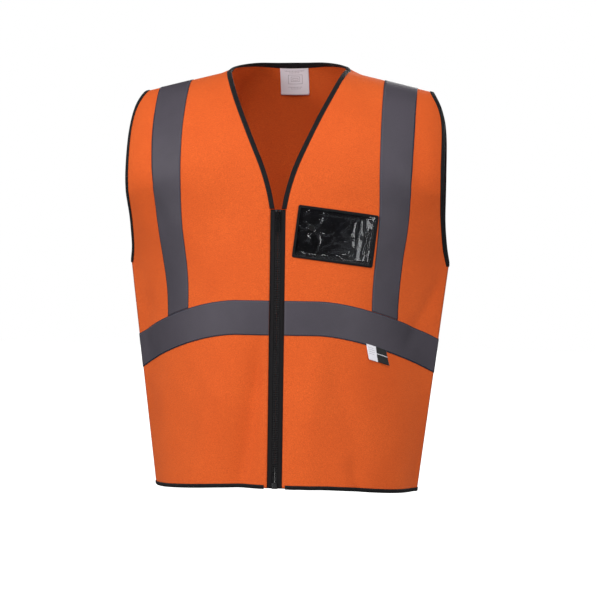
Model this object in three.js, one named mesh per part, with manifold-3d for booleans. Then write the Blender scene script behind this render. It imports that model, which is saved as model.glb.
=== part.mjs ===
// A blaze orange safety vest: knitted panels with black binding, grey reflective tape,
// a front zip, an identity-card pocket and two labels. Millimetres, +Z up, front towards -Y.
// The origin is the middle of the neck, level with the inner ends of the shoulder seams.
// The wearer's left is +X.

import * as THREE from 'three';
import Module from 'manifold-3d';
import { mergeVertices } from 'three/addons/utils/BufferGeometryUtils.js';

const wasm = await Module();
wasm.setup();

// Outline of the garment
const NECK_HALF = 85;
const NECK_BACK_DEPTH = 65;
const NECK_BOTTOM_Z = -209;
const SHOULDER_HALF = 216;
const SHOULDER_SLOPE = 0.24;
const ARMPIT_HALF = 242;
const ARMPIT_Z = -283;
const SIDE_TAPER = 0.125;
const HEM_Z = -612;
const HEM_FALL = 24;

// Form of the body that the cloth hangs on
const SHOULDER_ROUND = 150;
const NAPE_LIFT = 53;
const NAPE_HALF = 120;
const FRONT_DEPTH = 122;
const SEAM_Y = 30;
const CENTRE_FLAT_HALF = 16;
const FORM_TOP_Z = 100;

// Cloth layers, measured outwards from the inner face of the panels
const CLOTH = 0.8;
const GAP = 0.3;
const TAPE_THICKNESS = 0.4;
const FOLD_THICKNESS = 0.6;
const BINDING_WIDTH = 7;
const ARM_BINDING_WIDTH = 5.5;
const HEM_BINDING_WIDTH = 6;
const EDGE_IN_FOLD = 1.8;
const SEAM_GAP = 0.3;

// Reflective tape
const TAPE_WIDTH = 50;
const WAIST_TOP_Z = -340.5;
const WAIST_FALL = 60;
const WAIST_SLANT = 5;
const LEVEL_HALF = 55;
const FALL_RUN = 176;
const BRACE_INNER_TOP = 144;
const BRACE_INNER_WAIST = 134;

// Zip
const ZIP_OPEN_HALF = 11;
const ZIP_TAPE_OUTER = 15;
const CHAIN_INNER = 0.8;
const CHAIN_OUTER = 3.6;
const CHAIN_THICKNESS = 2.2;
const SLIDER_TOP_Z = -213;
const SLIDER_LENGTH = 9;
const SLIDER_PLATE = 1.2;
const SLIDER_HALF_TOP = 4.4;
const SLIDER_HALF_FOOT = 3.6;
const SLIDER_CLEARANCE = 0.3;
const CROWN_HALF = 0.6;
const CROWN_THICK = 1.0;
const CROWN_ROOM = 2.0;
const CROWN_INSET_TOP = 1.2;
const CROWN_LENGTH = 6.6;
const STOP_LENGTH = 2.6;
const BOX_TOP_Z = HEM_Z + 9;
const BOX_LENGTH = 8.5;
const BOX_HALF = 3.9;
const BOX_WALL = 1.0;
const BOX_FLOOR = 1.5;
const BOX_CLEARANCE = 0.3;
const PIN_LENGTH = 14;
const PIN_THIN = 0.2;
const PIN_END_ROOM = 0.7;
const PULL_LENGTH = 24;
const PULL_HALF = 2.6;
const PULL_THICKNESS = 1.1;

// Pocket on the wearer's left chest
const POCKET_CENTRE = [81.7, -247];
const POCKET_WIDTH = 114;
const POCKET_HEIGHT = 76;
const POCKET_TILT = THREE.MathUtils.degToRad(-7);
const POCKET_TRIM = 3.5;
const POCKET_ROOM = 1.0;
const POCKET_CORNER = 3;
const STUD_PLACE = [49, -236];
const STUD_RADIUS = 4;

// Labels
const CARE_LABEL_HALF = 22;
const CARE_LABEL_TOP_Z = 11;
const CARE_LABEL_DROP = 38;
const SIDE_TAG_X = 127;
const SIDE_TAG_WIDTH = 27;
const SIDE_TAG_DROP = 20;
const LABEL_THICKNESS = 0.5;
const LABEL_GAP = 0.8;

// Where the swinging part of each front begins, from the zip out to the armpit
const SPLIT_CHEST_Z = -198;
const SPLIT_SIDE_Z = -311;
const SPLIT_LINE = [
  [0, NECK_BOTTOM_Z], [20, NECK_BOTTOM_Z], [26, SPLIT_CHEST_Z], [150, SPLIT_CHEST_Z],
  [ARMPIT_HALF + 10, SPLIT_SIDE_Z],
];
const SPLIT_GAP = 0.7;

// Rows and columns of the form: rows close together round the shoulder, then down to the hem
const COLUMNS = 11;
const ROUND_ROWS = 6;
const CHEST_ROWS = [175, 200, 225, 254, 283];
const BODY_ROWS = 10;
const BELOW_HEM = 38;
const FAR = 400;
const INTO = 0.2;

const COLOURS = {
  orange: [0xe0602a, 0.85, 0],
  tape: [0x5a565e, 0.55, 0],
  black: [0x15181c, 0.8, 0],
  zip: [0x17181a, 0.5, 0],
  metal: [0xb9bcc0, 0.35, 0.9],
  vinyl: [0x33363a, 0.15, 0],
  white: [0xe4e6e6, 0.8, 0],
};

// Turns a closed three.js geometry into a solid that can be cut and joined.
function solid(geometry) {
  const bare = geometry.index ? geometry.clone() : geometry;
  bare.deleteAttribute('normal');
  bare.deleteAttribute('uv');
  const merged = mergeVertices(bare, 1e-5);
  const vertProperties = new Float32Array(merged.attributes.position.array);
  const triVerts = new Uint32Array(merged.index.array);
  return new wasm.Manifold(new wasm.Mesh({ numProp: 3, vertProperties, triVerts }));
}

function asMesh(name, piece, colour) {
  const { vertProperties, triVerts } = piece.getMesh();
  const geometry = new THREE.BufferGeometry();
  geometry.setAttribute('position', new THREE.BufferAttribute(new Float32Array(vertProperties), 3));
  geometry.setIndex(new THREE.BufferAttribute(new Uint32Array(triVerts), 1));
  geometry.computeVertexNormals();
  const [color, roughness, metalness] = COLOURS[colour];
  const mesh = new THREE.Mesh(geometry, new THREE.MeshStandardMaterial({ color, roughness, metalness }));
  mesh.name = name;
  return mesh;
}

// A value that changes smoothly between heights. Each stop is [height, value], from the top down.
function smoothBetween(stops, height) {
  const last = stops.length - 1;
  if (height >= stops[0][0]) return stops[0][1];
  if (height <= stops[last][0]) return stops[last][1];
  const i = stops.findIndex(([z]) => z < height) - 1;
  const [z0, v0] = stops[i];
  const [z1, v1] = stops[i + 1];
  const slope = (k) => {
    const a = stops[Math.max(k - 1, 0)];
    const b = stops[Math.min(k + 1, last)];
    return (b[1] - a[1]) / (b[0] - a[0]);
  };
  const span = z1 - z0;
  const t = (height - z0) / span;
  const rise = t * t * (3 - 2 * t);
  const leave = t * (1 - t) ** 2 * span * slope(i);
  const arrive = t * t * (1 - t) * span * slope(i + 1);
  return v0 + (v1 - v0) * rise + leave - arrive;
}

// Half the width of the garment at a height: straight side seams below the armpits.
function halfWidth(z) {
  if (z <= ARMPIT_Z) return ARMPIT_HALF + (z - ARMPIT_Z) * SIDE_TAPER;
  return smoothBetween([[0, 228], [-70, 241], [-150, 247], [ARMPIT_Z, ARMPIT_HALF]], z);
}

function seamDepth(z) {
  return smoothBetween([[-150, 0], [-215, 14], [ARMPIT_Z, SEAM_Y], [-330, SEAM_Y]], z);
}

function frontDepth(z) {
  const above = Math.max(0, (z + 200) / 200);
  return FRONT_DEPTH - 16 * above ** 2;
}

// The horizontal section: a flat middle, then one cubic curve round to the side seam.
// side is -1 for the front and 1 for the back; u runs from 0 at the middle to 1 at the seam.
function sectionPoint(side, u, z) {
  const half = halfWidth(z);
  const front = side < 0;
  const backDepth = [[0, 104], [-150, 108], [-283, 125], [-370, 130], [-650, 126]];
  const depth = front ? frontDepth(z) : smoothBetween(backDepth, z);
  const flat = front
    ? smoothBetween([[0, 180], [-120, 195], [-200, 165], [-283, 150], [-650, 150]], z)
    : smoothBetween([[0, 185], [-120, 190], [-283, 180], [-650, 165]], z);
  const turnX = front
    ? smoothBetween([[0, 234], [-120, 250], [-200, 225], [-283, 190], [-370, 172], [-650, 176]], z)
    : half;
  const turnY = front
    ? smoothBetween([[0, 80], [-120, 85], [-200, 62], [-283, 50], [-370, 42], [-650, 36]], z)
    : smoothBetween([[0, 80], [-120, 85], [-283, 105], [-650, 100]], z);
  const curve = new THREE.CubicBezierCurve(
    new THREE.Vector2(CENTRE_FLAT_HALF, side * depth),
    new THREE.Vector2(flat, side * depth),
    new THREE.Vector2(turnX, side * turnY),
    new THREE.Vector2(half, seamDepth(z)),
  );
  return curve.getPoint(u);
}

// A point on the inner face of the cloth. s runs from 0 on the shoulder seam to 1 where the
// shoulder has rounded over into the chest, and on down the body in the same unit.
function skinPoint(side, sign, u, s) {
  const turn = Math.min(s, 1) * Math.PI / 2;
  const level = s <= 1 ? -SHOULDER_ROUND * (1 - Math.cos(turn)) : -SHOULDER_ROUND * s;
  const section = sectionPoint(side, u, level);
  const slope = SHOULDER_SLOPE * Math.max(0, section.x - NECK_HALF);
  const fade = THREE.MathUtils.clamp((level - ARMPIT_Z) / (-SHOULDER_ROUND - ARMPIT_Z), 0, 1);
  const nape = Math.max(0, 1 - (section.x / NAPE_HALF) ** 2);
  const lift = side > 0 ? NAPE_LIFT * nape * Math.sin(2 * turn) : 0;
  return new THREE.Vector3(sign * section.x, section.y * Math.sin(turn), level - slope * fade + lift);
}

function skinNormal(side, sign, u, s) {
  const step = 1e-3;
  const u0 = Math.max(0, u - step);
  const u1 = Math.min(1, u + step);
  const s0 = Math.max(0, s - step);
  const across = skinPoint(side, sign, u1, s).sub(skinPoint(side, sign, u0, s));
  const down = skinPoint(side, sign, u, s + step).sub(skinPoint(side, sign, u, s0));
  const normal = across.cross(down).multiplyScalar(sign * side);
  return normal.normalize();
}

// A point set off outwards from the skin. On the side seam front and back share one direction.
function layerPoint(side, sign, u, s, offset) {
  const normal = skinNormal(side, sign, u, s);
  if (u === 1) normal.add(skinNormal(-side, sign, u, s)).normalize();
  return skinPoint(side, sign, u, s).addScaledVector(normal, offset);
}

const columns = [];
for (let k = COLUMNS; k >= 0; k -= 1) columns.push([-1, k / COLUMNS]);
for (let k = 0; k <= COLUMNS; k += 1) columns.push([1, k / COLUMNS]);

const rows = [];
for (let k = 0; k <= ROUND_ROWS; k += 1) rows.push(k / ROUND_ROWS);
for (const height of CHEST_ROWS) rows.push(height / SHOULDER_ROUND);
const lastChest = CHEST_ROWS[CHEST_ROWS.length - 1];
for (let k = 1; k <= BODY_ROWS; k += 1) {
  const height = lastChest + (BELOW_HEM - HEM_Z - lastChest) * k / BODY_ROWS;
  rows.push(height / SHOULDER_ROUND);
}

// A closed layer of cloth over the whole front or back, between two distances off the skin.
const layers = new Map();
function layer(side, inner, outer) {
  const key = `${side} ${inner} ${outer}`;
  if (layers.has(key)) return layers.get(key);
  const positions = [];
  for (const offset of [outer, inner]) {
    for (const s of rows) {
      for (const [sign, u] of columns) positions.push(...layerPoint(side, sign, u, s, offset));
    }
  }
  const wide = columns.length;
  const faceCount = rows.length * wide;
  const triangles = [];
  // One face a-b-c-d. The diagonal leans the same way on both faces of the cloth, and is
  // mirrored about the middle of the garment.
  const quad = (a, b, c, d, mirrored, flip) => {
    const faces = mirrored ? [[a, b, d], [b, c, d]] : [[a, b, c], [a, c, d]];
    for (const [p, q, r] of faces) triangles.push(...(flip ? [p, r, q] : [p, q, r]));
  };
  const front = side < 0;
  for (let r = 0; r < rows.length - 1; r += 1) {
    for (let c = 0; c < wide - 1; c += 1) {
      const a = r * wide + c;
      const mirrored = c >= wide / 2;
      quad(a, a + 1, a + 1 + wide, a + wide, mirrored, front);
      const b = faceCount + a;
      quad(b, b + 1, b + 1 + wide, b + wide, mirrored, !front);
    }
  }
  for (let c = 0; c < wide - 1; c += 1) {
    const foot = (rows.length - 1) * wide + c;
    quad(faceCount + c, faceCount + c + 1, c + 1, c, false, front);
    quad(foot, foot + 1, faceCount + foot + 1, faceCount + foot, false, front);
  }
  for (let r = 0; r < rows.length - 1; r += 1) {
    const left = r * wide;
    const right = left + wide - 1;
    quad(left, left + wide, faceCount + left + wide, faceCount + left, false, front);
    quad(faceCount + right, faceCount + right + wide, right + wide, right, false, front);
  }
  const geometry = new THREE.BufferGeometry();
  geometry.setAttribute('position', new THREE.Float32BufferAttribute(positions, 3));
  geometry.setIndex(triangles);
  const result = solid(geometry);
  layers.set(key, result);
  return result;
}

// An outline seen from the front, [x, z], pushed straight through from yFrom to yTo.
function frontPrism(outline, sign, yFrom, yTo) {
  const shape = new THREE.Shape(outline.map(([x, z]) => new THREE.Vector2(sign * x, z)));
  const geometry = new THREE.ExtrudeGeometry(shape, { depth: yTo - yFrom, bevelEnabled: false });
  geometry.rotateX(Math.PI / 2);
  geometry.translate(0, yTo, 0);
  return solid(geometry);
}

// An outline seen from above, [x, y], between two heights.
function planPrism(outline, zFrom, zTo) {
  const shape = new THREE.Shape(outline.map(([x, y]) => new THREE.Vector2(x, y)));
  const geometry = new THREE.ExtrudeGeometry(shape, { depth: zTo - zFrom, bevelEnabled: false });
  geometry.translate(0, 0, zFrom);
  return solid(geometry);
}

function block(xs, ys, zs) {
  const geometry = new THREE.BoxGeometry(xs[1] - xs[0], ys[1] - ys[0], zs[1] - zs[0]);
  geometry.translate((xs[0] + xs[1]) / 2, (ys[0] + ys[1]) / 2, (zs[0] + zs[1]) / 2);
  return solid(geometry);
}

// The same line moved sideways, to its left as it is walked.
function offsetLine(points, distance) {
  return points.map(([x, z], i) => {
    const before = points[Math.max(i - 1, 0)];
    const after = points[Math.min(i + 1, points.length - 1)];
    const run = new THREE.Vector2(after[0] - before[0], after[1] - before[1]).normalize();
    return [x - run.y * distance, z + run.x * distance];
  });
}

function smoothLine(points, steps) {
  const curve = new THREE.SplineCurve(points.map(([x, z]) => new THREE.Vector2(x, z)));
  return curve.getPoints(steps).map((p) => [p.x, p.y]);
}

// How far a line that is level across the front has dropped at a distance from the middle.
function sideFall(x) {
  return Math.max(0, (x - LEVEL_HALF) / FALL_RUN) ** 1.8;
}

const waistTop = (x) => WAIST_TOP_Z - WAIST_FALL * sideFall(x);
const waistFoot = (x) => waistTop(x) - TAPE_WIDTH - WAIST_SLANT * sideFall(x);
const hemLine = (x) => HEM_Z - HEM_FALL * sideFall(x);

function across(height, from, to, steps) {
  const line = [];
  for (let k = 0; k <= steps; k += 1) {
    const x = from + (to - from) * k / steps;
    line.push([x, height(x)]);
  }
  return line;
}

// Free edges, walked so that the cloth lies to the left of the line
const neckEdge = smoothLine(
  [[NECK_HALF, 0], [66, -45], [39, -106], [21, -148], [10.5, -182], [5, NECK_BOTTOM_Z]],
  14,
);
neckEdge.unshift([NECK_HALF, FORM_TOP_Z]);
const armEdge = smoothLine(
  [[ARMPIT_HALF + 1.5, ARMPIT_Z - 6], [237.5, -258], [235, -215], [235, -150], [234.5, -90], [229, -58],
    [SHOULDER_HALF, -30]],
  14,
);
armEdge.push([SHOULDER_HALF - 9, FORM_TOP_Z]);

const NAPE_STEPS = 16;
function napeLine(extra) {
  const line = [];
  for (let k = 0; k <= NAPE_STEPS; k += 1) {
    const angle = Math.PI * k / NAPE_STEPS;
    const x = (NECK_HALF + extra) * Math.cos(angle);
    line.push([x, (NECK_BACK_DEPTH + extra) * Math.sin(angle)]);
  }
  return line;
}

function hole(extra) {
  return [[-NECK_HALF - extra, -FAR], [NECK_HALF + extra, -FAR], ...napeLine(extra)];
}

const frontBounds = [-FAR, SEAM_Y - SEAM_GAP / 2];
const backBounds = [SEAM_GAP / 2, FAR];
const shoulderSlit = block([-FAR, FAR], [-SEAM_GAP / 2, SEAM_Y], [-FORM_TOP_Z, FORM_TOP_Z]);
const seamRun = ARMPIT_HALF + 30;

function trimToSide(piece, side) {
  if (side < 0) return piece.subtract(shoulderSlit);
  const sideBlock = (sign) => {
    const xs = sign > 0 ? [150, FAR] : [-FAR, -150];
    return block(xs, [-FAR, SEAM_Y + SEAM_GAP / 2], [-FAR * 2, ARMPIT_Z + 25]);
  };
  return piece.subtract(sideBlock(1)).subtract(sideBlock(-1));
}

function cutFrom(side, inner, outer, outline, sign) {
  const bounds = side < 0 ? frontBounds : backBounds;
  const piece = layer(side, inner, outer).intersect(frontPrism(outline, sign, bounds[0], bounds[1]));
  return trimToSide(piece, side);
}

// Cloth of one front, inside its bindings
const frontOutline = [
  ...offsetLine(neckEdge, EDGE_IN_FOLD).map(([x, z]) => [Math.max(x, ZIP_OPEN_HALF), z]),
  [ZIP_OPEN_HALF, HEM_Z + EDGE_IN_FOLD],
  ...across((x) => hemLine(x) + EDGE_IN_FOLD, 30, seamRun, 8),
  ...offsetLine(armEdge, EDGE_IN_FOLD),
];

const splitBeyond = [FAR, SPLIT_SIDE_Z];
const splitTop = [
  ...SPLIT_LINE.map(([x, z]) => [x, z + SPLIT_GAP / 2]), splitBeyond, [FAR, FAR], [0, FAR],
];
const splitFoot = [
  ...SPLIT_LINE.map(([x, z]) => [x, z - SPLIT_GAP / 2]), splitBeyond, [FAR, -FAR * 2], [0, -FAR * 2],
];

function above(piece, sign) {
  return piece.intersect(frontPrism(splitTop, sign, -FAR, FAR));
}

function below(piece, sign) {
  return piece.intersect(frontPrism(splitFoot, sign, -FAR, FAR));
}

// A binding folded over an edge: a thick strip with a slot that holds the cloth's edge.
const FOLD_IN = -GAP - FOLD_THICKNESS;
const FOLD_OUT = CLOTH + GAP + FOLD_THICKNESS;
const SLOT_DEPTH = EDGE_IN_FOLD - GAP;
const SLOT_OVERRUN = 5;

function strip(line, from, to) {
  return [...offsetLine(line, from), ...offsetLine(line, to).reverse()];
}

// The same line with both of its ends carried on straight.
function stretched(line, by) {
  const end = (tip, next) => {
    const run = new THREE.Vector2(tip[0] - next[0], tip[1] - next[1]).setLength(by);
    return [tip[0] + run.x, tip[1] + run.y];
  };
  return [end(line[0], line[1]), ...line, end(line[line.length - 1], line[line.length - 2])];
}

function foldedEdge(side, line, width, sign) {
  const body = cutFrom(side, FOLD_IN, FOLD_OUT, strip(line, 0, width), sign);
  const slotOutline = strip(stretched(line, SLOT_OVERRUN), SLOT_DEPTH, width + SLOT_OVERRUN);
  const slot = layer(side, -GAP, CLOTH + GAP).intersect(frontPrism(slotOutline, sign, -FAR, FAR));
  return body.subtract(slot);
}

const meshes = {};
function add(body, name, piece, colour) {
  meshes[body] = meshes[body] ?? [];
  meshes[body].push(asMesh(name, piece, colour));
}

// Panels
const backOutline = [
  [0, FORM_TOP_Z], [0, HEM_Z + EDGE_IN_FOLD],
  ...across((x) => hemLine(x) + EDGE_IN_FOLD, 30, seamRun, 8),
  ...offsetLine(armEdge, EDGE_IN_FOLD),
];
const backPanel = cutFrom(1, 0, CLOTH, backOutline, 1)
  .add(cutFrom(1, 0, CLOTH, backOutline, -1))
  .subtract(planPrism(hole(EDGE_IN_FOLD), -FAR, FAR));
add('back', 'back_panel', backPanel, 'orange');

const SIDES = [['left', 1], ['right', -1]];
for (const [name, sign] of SIDES) {
  const cloth = cutFrom(-1, 0, CLOTH, frontOutline, sign);
  add('back', `${name}_front_upper`, above(cloth, sign), 'orange');
  add(`${name}_front`, `${name}_front_lower`, below(cloth, sign), 'orange');
}

// Bindings
function napeStrip(from, to) {
  return planPrism([...napeLine(from), ...napeLine(to).reverse()], -FORM_TOP_Z, FORM_TOP_Z);
}
const napeSlot = layer(1, -GAP, CLOTH + GAP)
  .intersect(napeStrip(SLOT_DEPTH, BINDING_WIDTH + SLOT_OVERRUN));
const napeFold = layer(1, FOLD_IN, FOLD_OUT)
  .intersect(napeStrip(0, BINDING_WIDTH))
  .subtract(napeSlot)
  .intersect(block([-FAR, FAR], backBounds, [-FAR, FAR]));
add('back', 'neck_binding_back', napeFold, 'black');

for (const [name, sign] of SIDES) {
  add('back', `neck_binding_${name}`, above(foldedEdge(-1, neckEdge, BINDING_WIDTH, sign), sign), 'black');
  add('back', `armhole_binding_${name}_front`, foldedEdge(-1, armEdge, ARM_BINDING_WIDTH, sign), 'black');
  add('back', `armhole_binding_${name}_back`, foldedEdge(1, armEdge, ARM_BINDING_WIDTH, sign), 'black');
}

const hemFront = [...across(hemLine, ZIP_OPEN_HALF, seamRun, 9)];
const zipTapeSlot = (sign) => {
  const reach = ZIP_TAPE_OUTER + GAP;
  const xs = sign > 0 ? [0, reach] : [-reach, 0];
  return block(xs, [-FRONT_DEPTH, 0], [HEM_Z - 5, HEM_Z + 20]);
};
for (const [name, sign] of SIDES) {
  const fold = foldedEdge(-1, hemFront, HEM_BINDING_WIDTH, sign).subtract(zipTapeSlot(sign));
  add(`${name}_front`, `hem_binding_${name}`, fold, 'black');
}
const hemBack = across((x) => hemLine(Math.abs(x)), -seamRun, seamRun, 18);
add('back', 'hem_binding_back', foldedEdge(1, hemBack, HEM_BINDING_WIDTH, 1), 'black');

// Reflective tape
const TAPE_IN = CLOTH + GAP;
const TAPE_OUT = TAPE_IN + TAPE_THICKNESS;

function braceInner(z) {
  const fall = THREE.MathUtils.smoothstep(-z, 195, 350);
  return BRACE_INNER_TOP + (BRACE_INNER_WAIST - BRACE_INNER_TOP) * fall;
}

// The other edge of a strip of tape, one tape width further round the body.
function braceOuter(side, z) {
  const inner = braceInner(z);
  let last = null;
  let length = 0;
  for (let u = 0; u <= 1; u += 0.005) {
    const point = sectionPoint(side, u, Math.min(z, 0));
    if (last && last.x >= inner) length += point.distanceTo(last);
    if (length >= TAPE_WIDTH) return point.x;
    last = point;
  }
  return halfWidth(z);
}

function braceOutline(side) {
  const heights = [FORM_TOP_Z, -60, -130, -200, -245, -290, -325];
  const inside = heights.map((z) => [braceInner(z), z]);
  const outside = heights.map((z) => [braceOuter(side, z), z]).reverse();
  const footInner = braceInner(-350);
  const footOuter = braceOuter(side, -365);
  const foot = across((x) => waistTop(x) + GAP, footInner, footOuter, 4);
  return [...inside, ...foot, ...outside];
}

const waistOutline = (from) => {
  const top = across(waistTop, from, seamRun, 10);
  const foot = top.map(([x]) => [x, waistFoot(x)]).reverse();
  return [...top, ...foot];
};

for (const [name, sign] of SIDES) {
  const brace = cutFrom(-1, TAPE_IN, TAPE_OUT, braceOutline(-1), sign);
  add('back', `brace_tape_${name}_upper`, above(brace, sign), 'tape');
  add(`${name}_front`, `brace_tape_${name}_lower`, below(brace, sign), 'tape');
  add('back', `brace_tape_${name}_back`, cutFrom(1, TAPE_IN, TAPE_OUT, braceOutline(1), sign), 'tape');
  const waist = cutFrom(-1, TAPE_IN, TAPE_OUT, waistOutline(ZIP_OPEN_HALF), sign);
  add(`${name}_front`, `waist_tape_${name}`, waist, 'tape');
}
const waistBack = cutFrom(1, TAPE_IN, TAPE_OUT, waistOutline(0), 1)
  .add(cutFrom(1, TAPE_IN, TAPE_OUT, waistOutline(0), -1));
add('back', 'waist_tape_back', waistBack, 'tape');

// Zip. Depths are measured outwards from the inner face of the cloth at the middle of the front.
const zipY = (offset) => -FRONT_DEPTH - offset;
const ZIP_TAPE_IN = -GAP - FOLD_THICKNESS;
const CHAIN_MIDDLE = ZIP_TAPE_IN + FOLD_THICKNESS / 2;
const CHAIN_IN = CHAIN_MIDDLE - CHAIN_THICKNESS / 2;
const CHAIN_OUT = CHAIN_MIDDLE + CHAIN_THICKNESS / 2;
const SLIDER_FOOT_Z = SLIDER_TOP_Z - SLIDER_LENGTH;
const PIN_TOP_Z = BOX_TOP_Z + PIN_LENGTH;

function lane(sign, inner, outer, zFrom, zTo, thin = 0) {
  const xs = sign > 0 ? [inner, outer] : [-outer, -inner];
  return block(xs, [zipY(CHAIN_OUT - thin), zipY(CHAIN_IN + thin)], [zTo, zFrom]);
}

const stopTop = SLIDER_TOP_Z + STOP_LENGTH + GAP;
for (const [name, sign] of SIDES) {
  const tapeOutline = [
    [CHAIN_OUTER + GAP, NECK_BOTTOM_Z - SPLIT_GAP], [ZIP_TAPE_OUTER, NECK_BOTTOM_Z - SPLIT_GAP],
    [ZIP_TAPE_OUTER, HEM_Z + 1], [CHAIN_OUTER + GAP, HEM_Z + 1],
  ];
  const tape = cutFrom(-1, ZIP_TAPE_IN, -GAP, tapeOutline, sign);
  const chainTop = sign > 0 ? SLIDER_TOP_Z : SLIDER_FOOT_Z - GAP;
  const chain = lane(sign, CHAIN_INNER, CHAIN_OUTER, chainTop, PIN_TOP_Z + GAP);
  add(`${name}_front`, `zip_tape_${name}`, tape, 'zip');
  add(`${name}_front`, `zip_teeth_${name}`, chain, 'zip');
  const stop = lane(sign, CHAIN_INNER, CHAIN_OUTER, stopTop, SLIDER_TOP_Z + GAP);
  add(`${name}_front`, `top_stop_${name}`, stop, 'metal');
}

// The retaining box holds the insertion pin in a channel that is open towards the other side.
const BOX_FOOT_Z = BOX_TOP_Z - BOX_LENGTH;
const boxShell = block(
  [-BOX_HALF, BOX_HALF],
  [zipY(CHAIN_OUT + BOX_WALL), zipY(CHAIN_IN - BOX_WALL)],
  [BOX_FOOT_Z, BOX_TOP_Z],
);
const boxChannel = block(
  [-BOX_HALF - 1, 0],
  [zipY(CHAIN_OUT + BOX_CLEARANCE), zipY(CHAIN_IN - BOX_CLEARANCE)],
  [BOX_FOOT_Z + BOX_FLOOR, BOX_TOP_Z + 1],
);
const boxSlot = block(
  [CHAIN_OUTER - INTO, BOX_HALF + 1],
  [zipY(-GAP / 2), zipY(ZIP_TAPE_IN - GAP)],
  [BOX_FOOT_Z - 1, BOX_TOP_Z + 1],
);
add('left_front', 'retaining_box', boxShell.subtract(boxChannel).subtract(boxSlot), 'metal');
const retainingPin = lane(1, CHAIN_INNER, CHAIN_OUTER, PIN_TOP_Z, BOX_TOP_Z + GAP, PIN_THIN);
add('left_front', 'retaining_pin', retainingPin, 'metal');
const pinFoot = BOX_FOOT_Z + BOX_FLOOR + PIN_END_ROOM;
const insertionPin = lane(-1, CHAIN_INNER, CHAIN_OUTER, PIN_TOP_Z, pinFoot, PIN_THIN);
add('right_front', 'insertion_pin', insertionPin, 'metal');

// Slider: two plates joined by a web between the rows of teeth, with a crown for the pull.
const PLATE_OUT_FROM = CHAIN_OUT + SLIDER_CLEARANCE;
const PLATE_OUT_TO = PLATE_OUT_FROM + SLIDER_PLATE;
const PLATE_IN_TO = CHAIN_IN - SLIDER_CLEARANCE;
const PLATE_IN_FROM = PLATE_IN_TO - SLIDER_PLATE;
const WEB_HALF = CHAIN_INNER - GAP;
const plateOutline = [
  [-SLIDER_HALF_TOP, SLIDER_TOP_Z - 2], [-SLIDER_HALF_TOP + 1.2, SLIDER_TOP_Z],
  [SLIDER_HALF_TOP - 1.2, SLIDER_TOP_Z], [SLIDER_HALF_TOP, SLIDER_TOP_Z - 2],
  [SLIDER_HALF_FOOT, SLIDER_FOOT_Z + 1], [SLIDER_HALF_FOOT - 1, SLIDER_FOOT_Z],
  [-SLIDER_HALF_FOOT + 1, SLIDER_FOOT_Z], [-SLIDER_HALF_FOOT, SLIDER_FOOT_Z + 1],
];
const CROWN_TOP_Z = SLIDER_TOP_Z - CROWN_INSET_TOP;
const CROWN_FOOT_Z = CROWN_TOP_Z - CROWN_LENGTH;
const crown = block(
  [-CROWN_HALF, CROWN_HALF],
  [zipY(PLATE_OUT_TO + CROWN_ROOM + CROWN_THICK), zipY(PLATE_OUT_TO - INTO)],
  [CROWN_FOOT_Z, CROWN_TOP_Z],
).subtract(block(
  [-CROWN_HALF - 1, CROWN_HALF + 1],
  [zipY(PLATE_OUT_TO + CROWN_ROOM), zipY(PLATE_OUT_TO)],
  [CROWN_FOOT_Z + CROWN_THICK, CROWN_TOP_Z - CROWN_THICK],
));
const web = block(
  [-WEB_HALF, WEB_HALF],
  [zipY(PLATE_OUT_TO - INTO), zipY(PLATE_IN_FROM + INTO)],
  [SLIDER_TOP_Z - 6, SLIDER_TOP_Z - 0.5],
);
const slider = frontPrism(plateOutline, 1, zipY(PLATE_OUT_TO), zipY(PLATE_OUT_FROM))
  .add(frontPrism(plateOutline, 1, zipY(PLATE_IN_TO), zipY(PLATE_IN_FROM)))
  .add(web)
  .add(crown);
add('slider', 'zip_slider', slider, 'zip');

// Pull: a bar through the crown, two arms beside it and a tab.
const PIVOT_OUT = PLATE_OUT_TO + CROWN_ROOM / 2 + 0.2;
const PIVOT_Z = (CROWN_TOP_Z + CROWN_FOOT_Z) / 2;
const ARM_INNER = CROWN_HALF + 0.5;
const TAB_TOP_Z = PIVOT_Z - 4.6;
const barRadius = PULL_THICKNESS / 2;
const barGeometry = new THREE.CylinderGeometry(barRadius, barRadius, PULL_HALF * 2 - 0.8, 12);
barGeometry.rotateZ(Math.PI / 2);
barGeometry.translate(0, zipY(PIVOT_OUT), PIVOT_Z);
const pullY = [zipY(PIVOT_OUT + barRadius), zipY(PIVOT_OUT - barRadius)];
const tabFoot = PIVOT_Z - PULL_LENGTH;
const tabEnd = [
  [PULL_HALF, tabFoot + 2], [1.8, tabFoot + 0.4], [0, tabFoot], [-1.8, tabFoot + 0.4],
  [-PULL_HALF, tabFoot + 2],
];
const tabOutline = [[-PULL_HALF, TAB_TOP_Z], [PULL_HALF, TAB_TOP_Z], ...smoothLine(tabEnd, 8)];
let pull = solid(barGeometry).add(frontPrism(tabOutline, 1, pullY[0], pullY[1]));
for (const sign of [-1, 1]) {
  const xs = sign > 0 ? [ARM_INNER, PULL_HALF - 0.4] : [-PULL_HALF + 0.4, -ARM_INNER];
  pull = pull.add(block(xs, pullY, [TAB_TOP_Z - 0.5, PIVOT_Z]));
}
add('pull', 'zip_pull', pull, 'zip');

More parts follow.
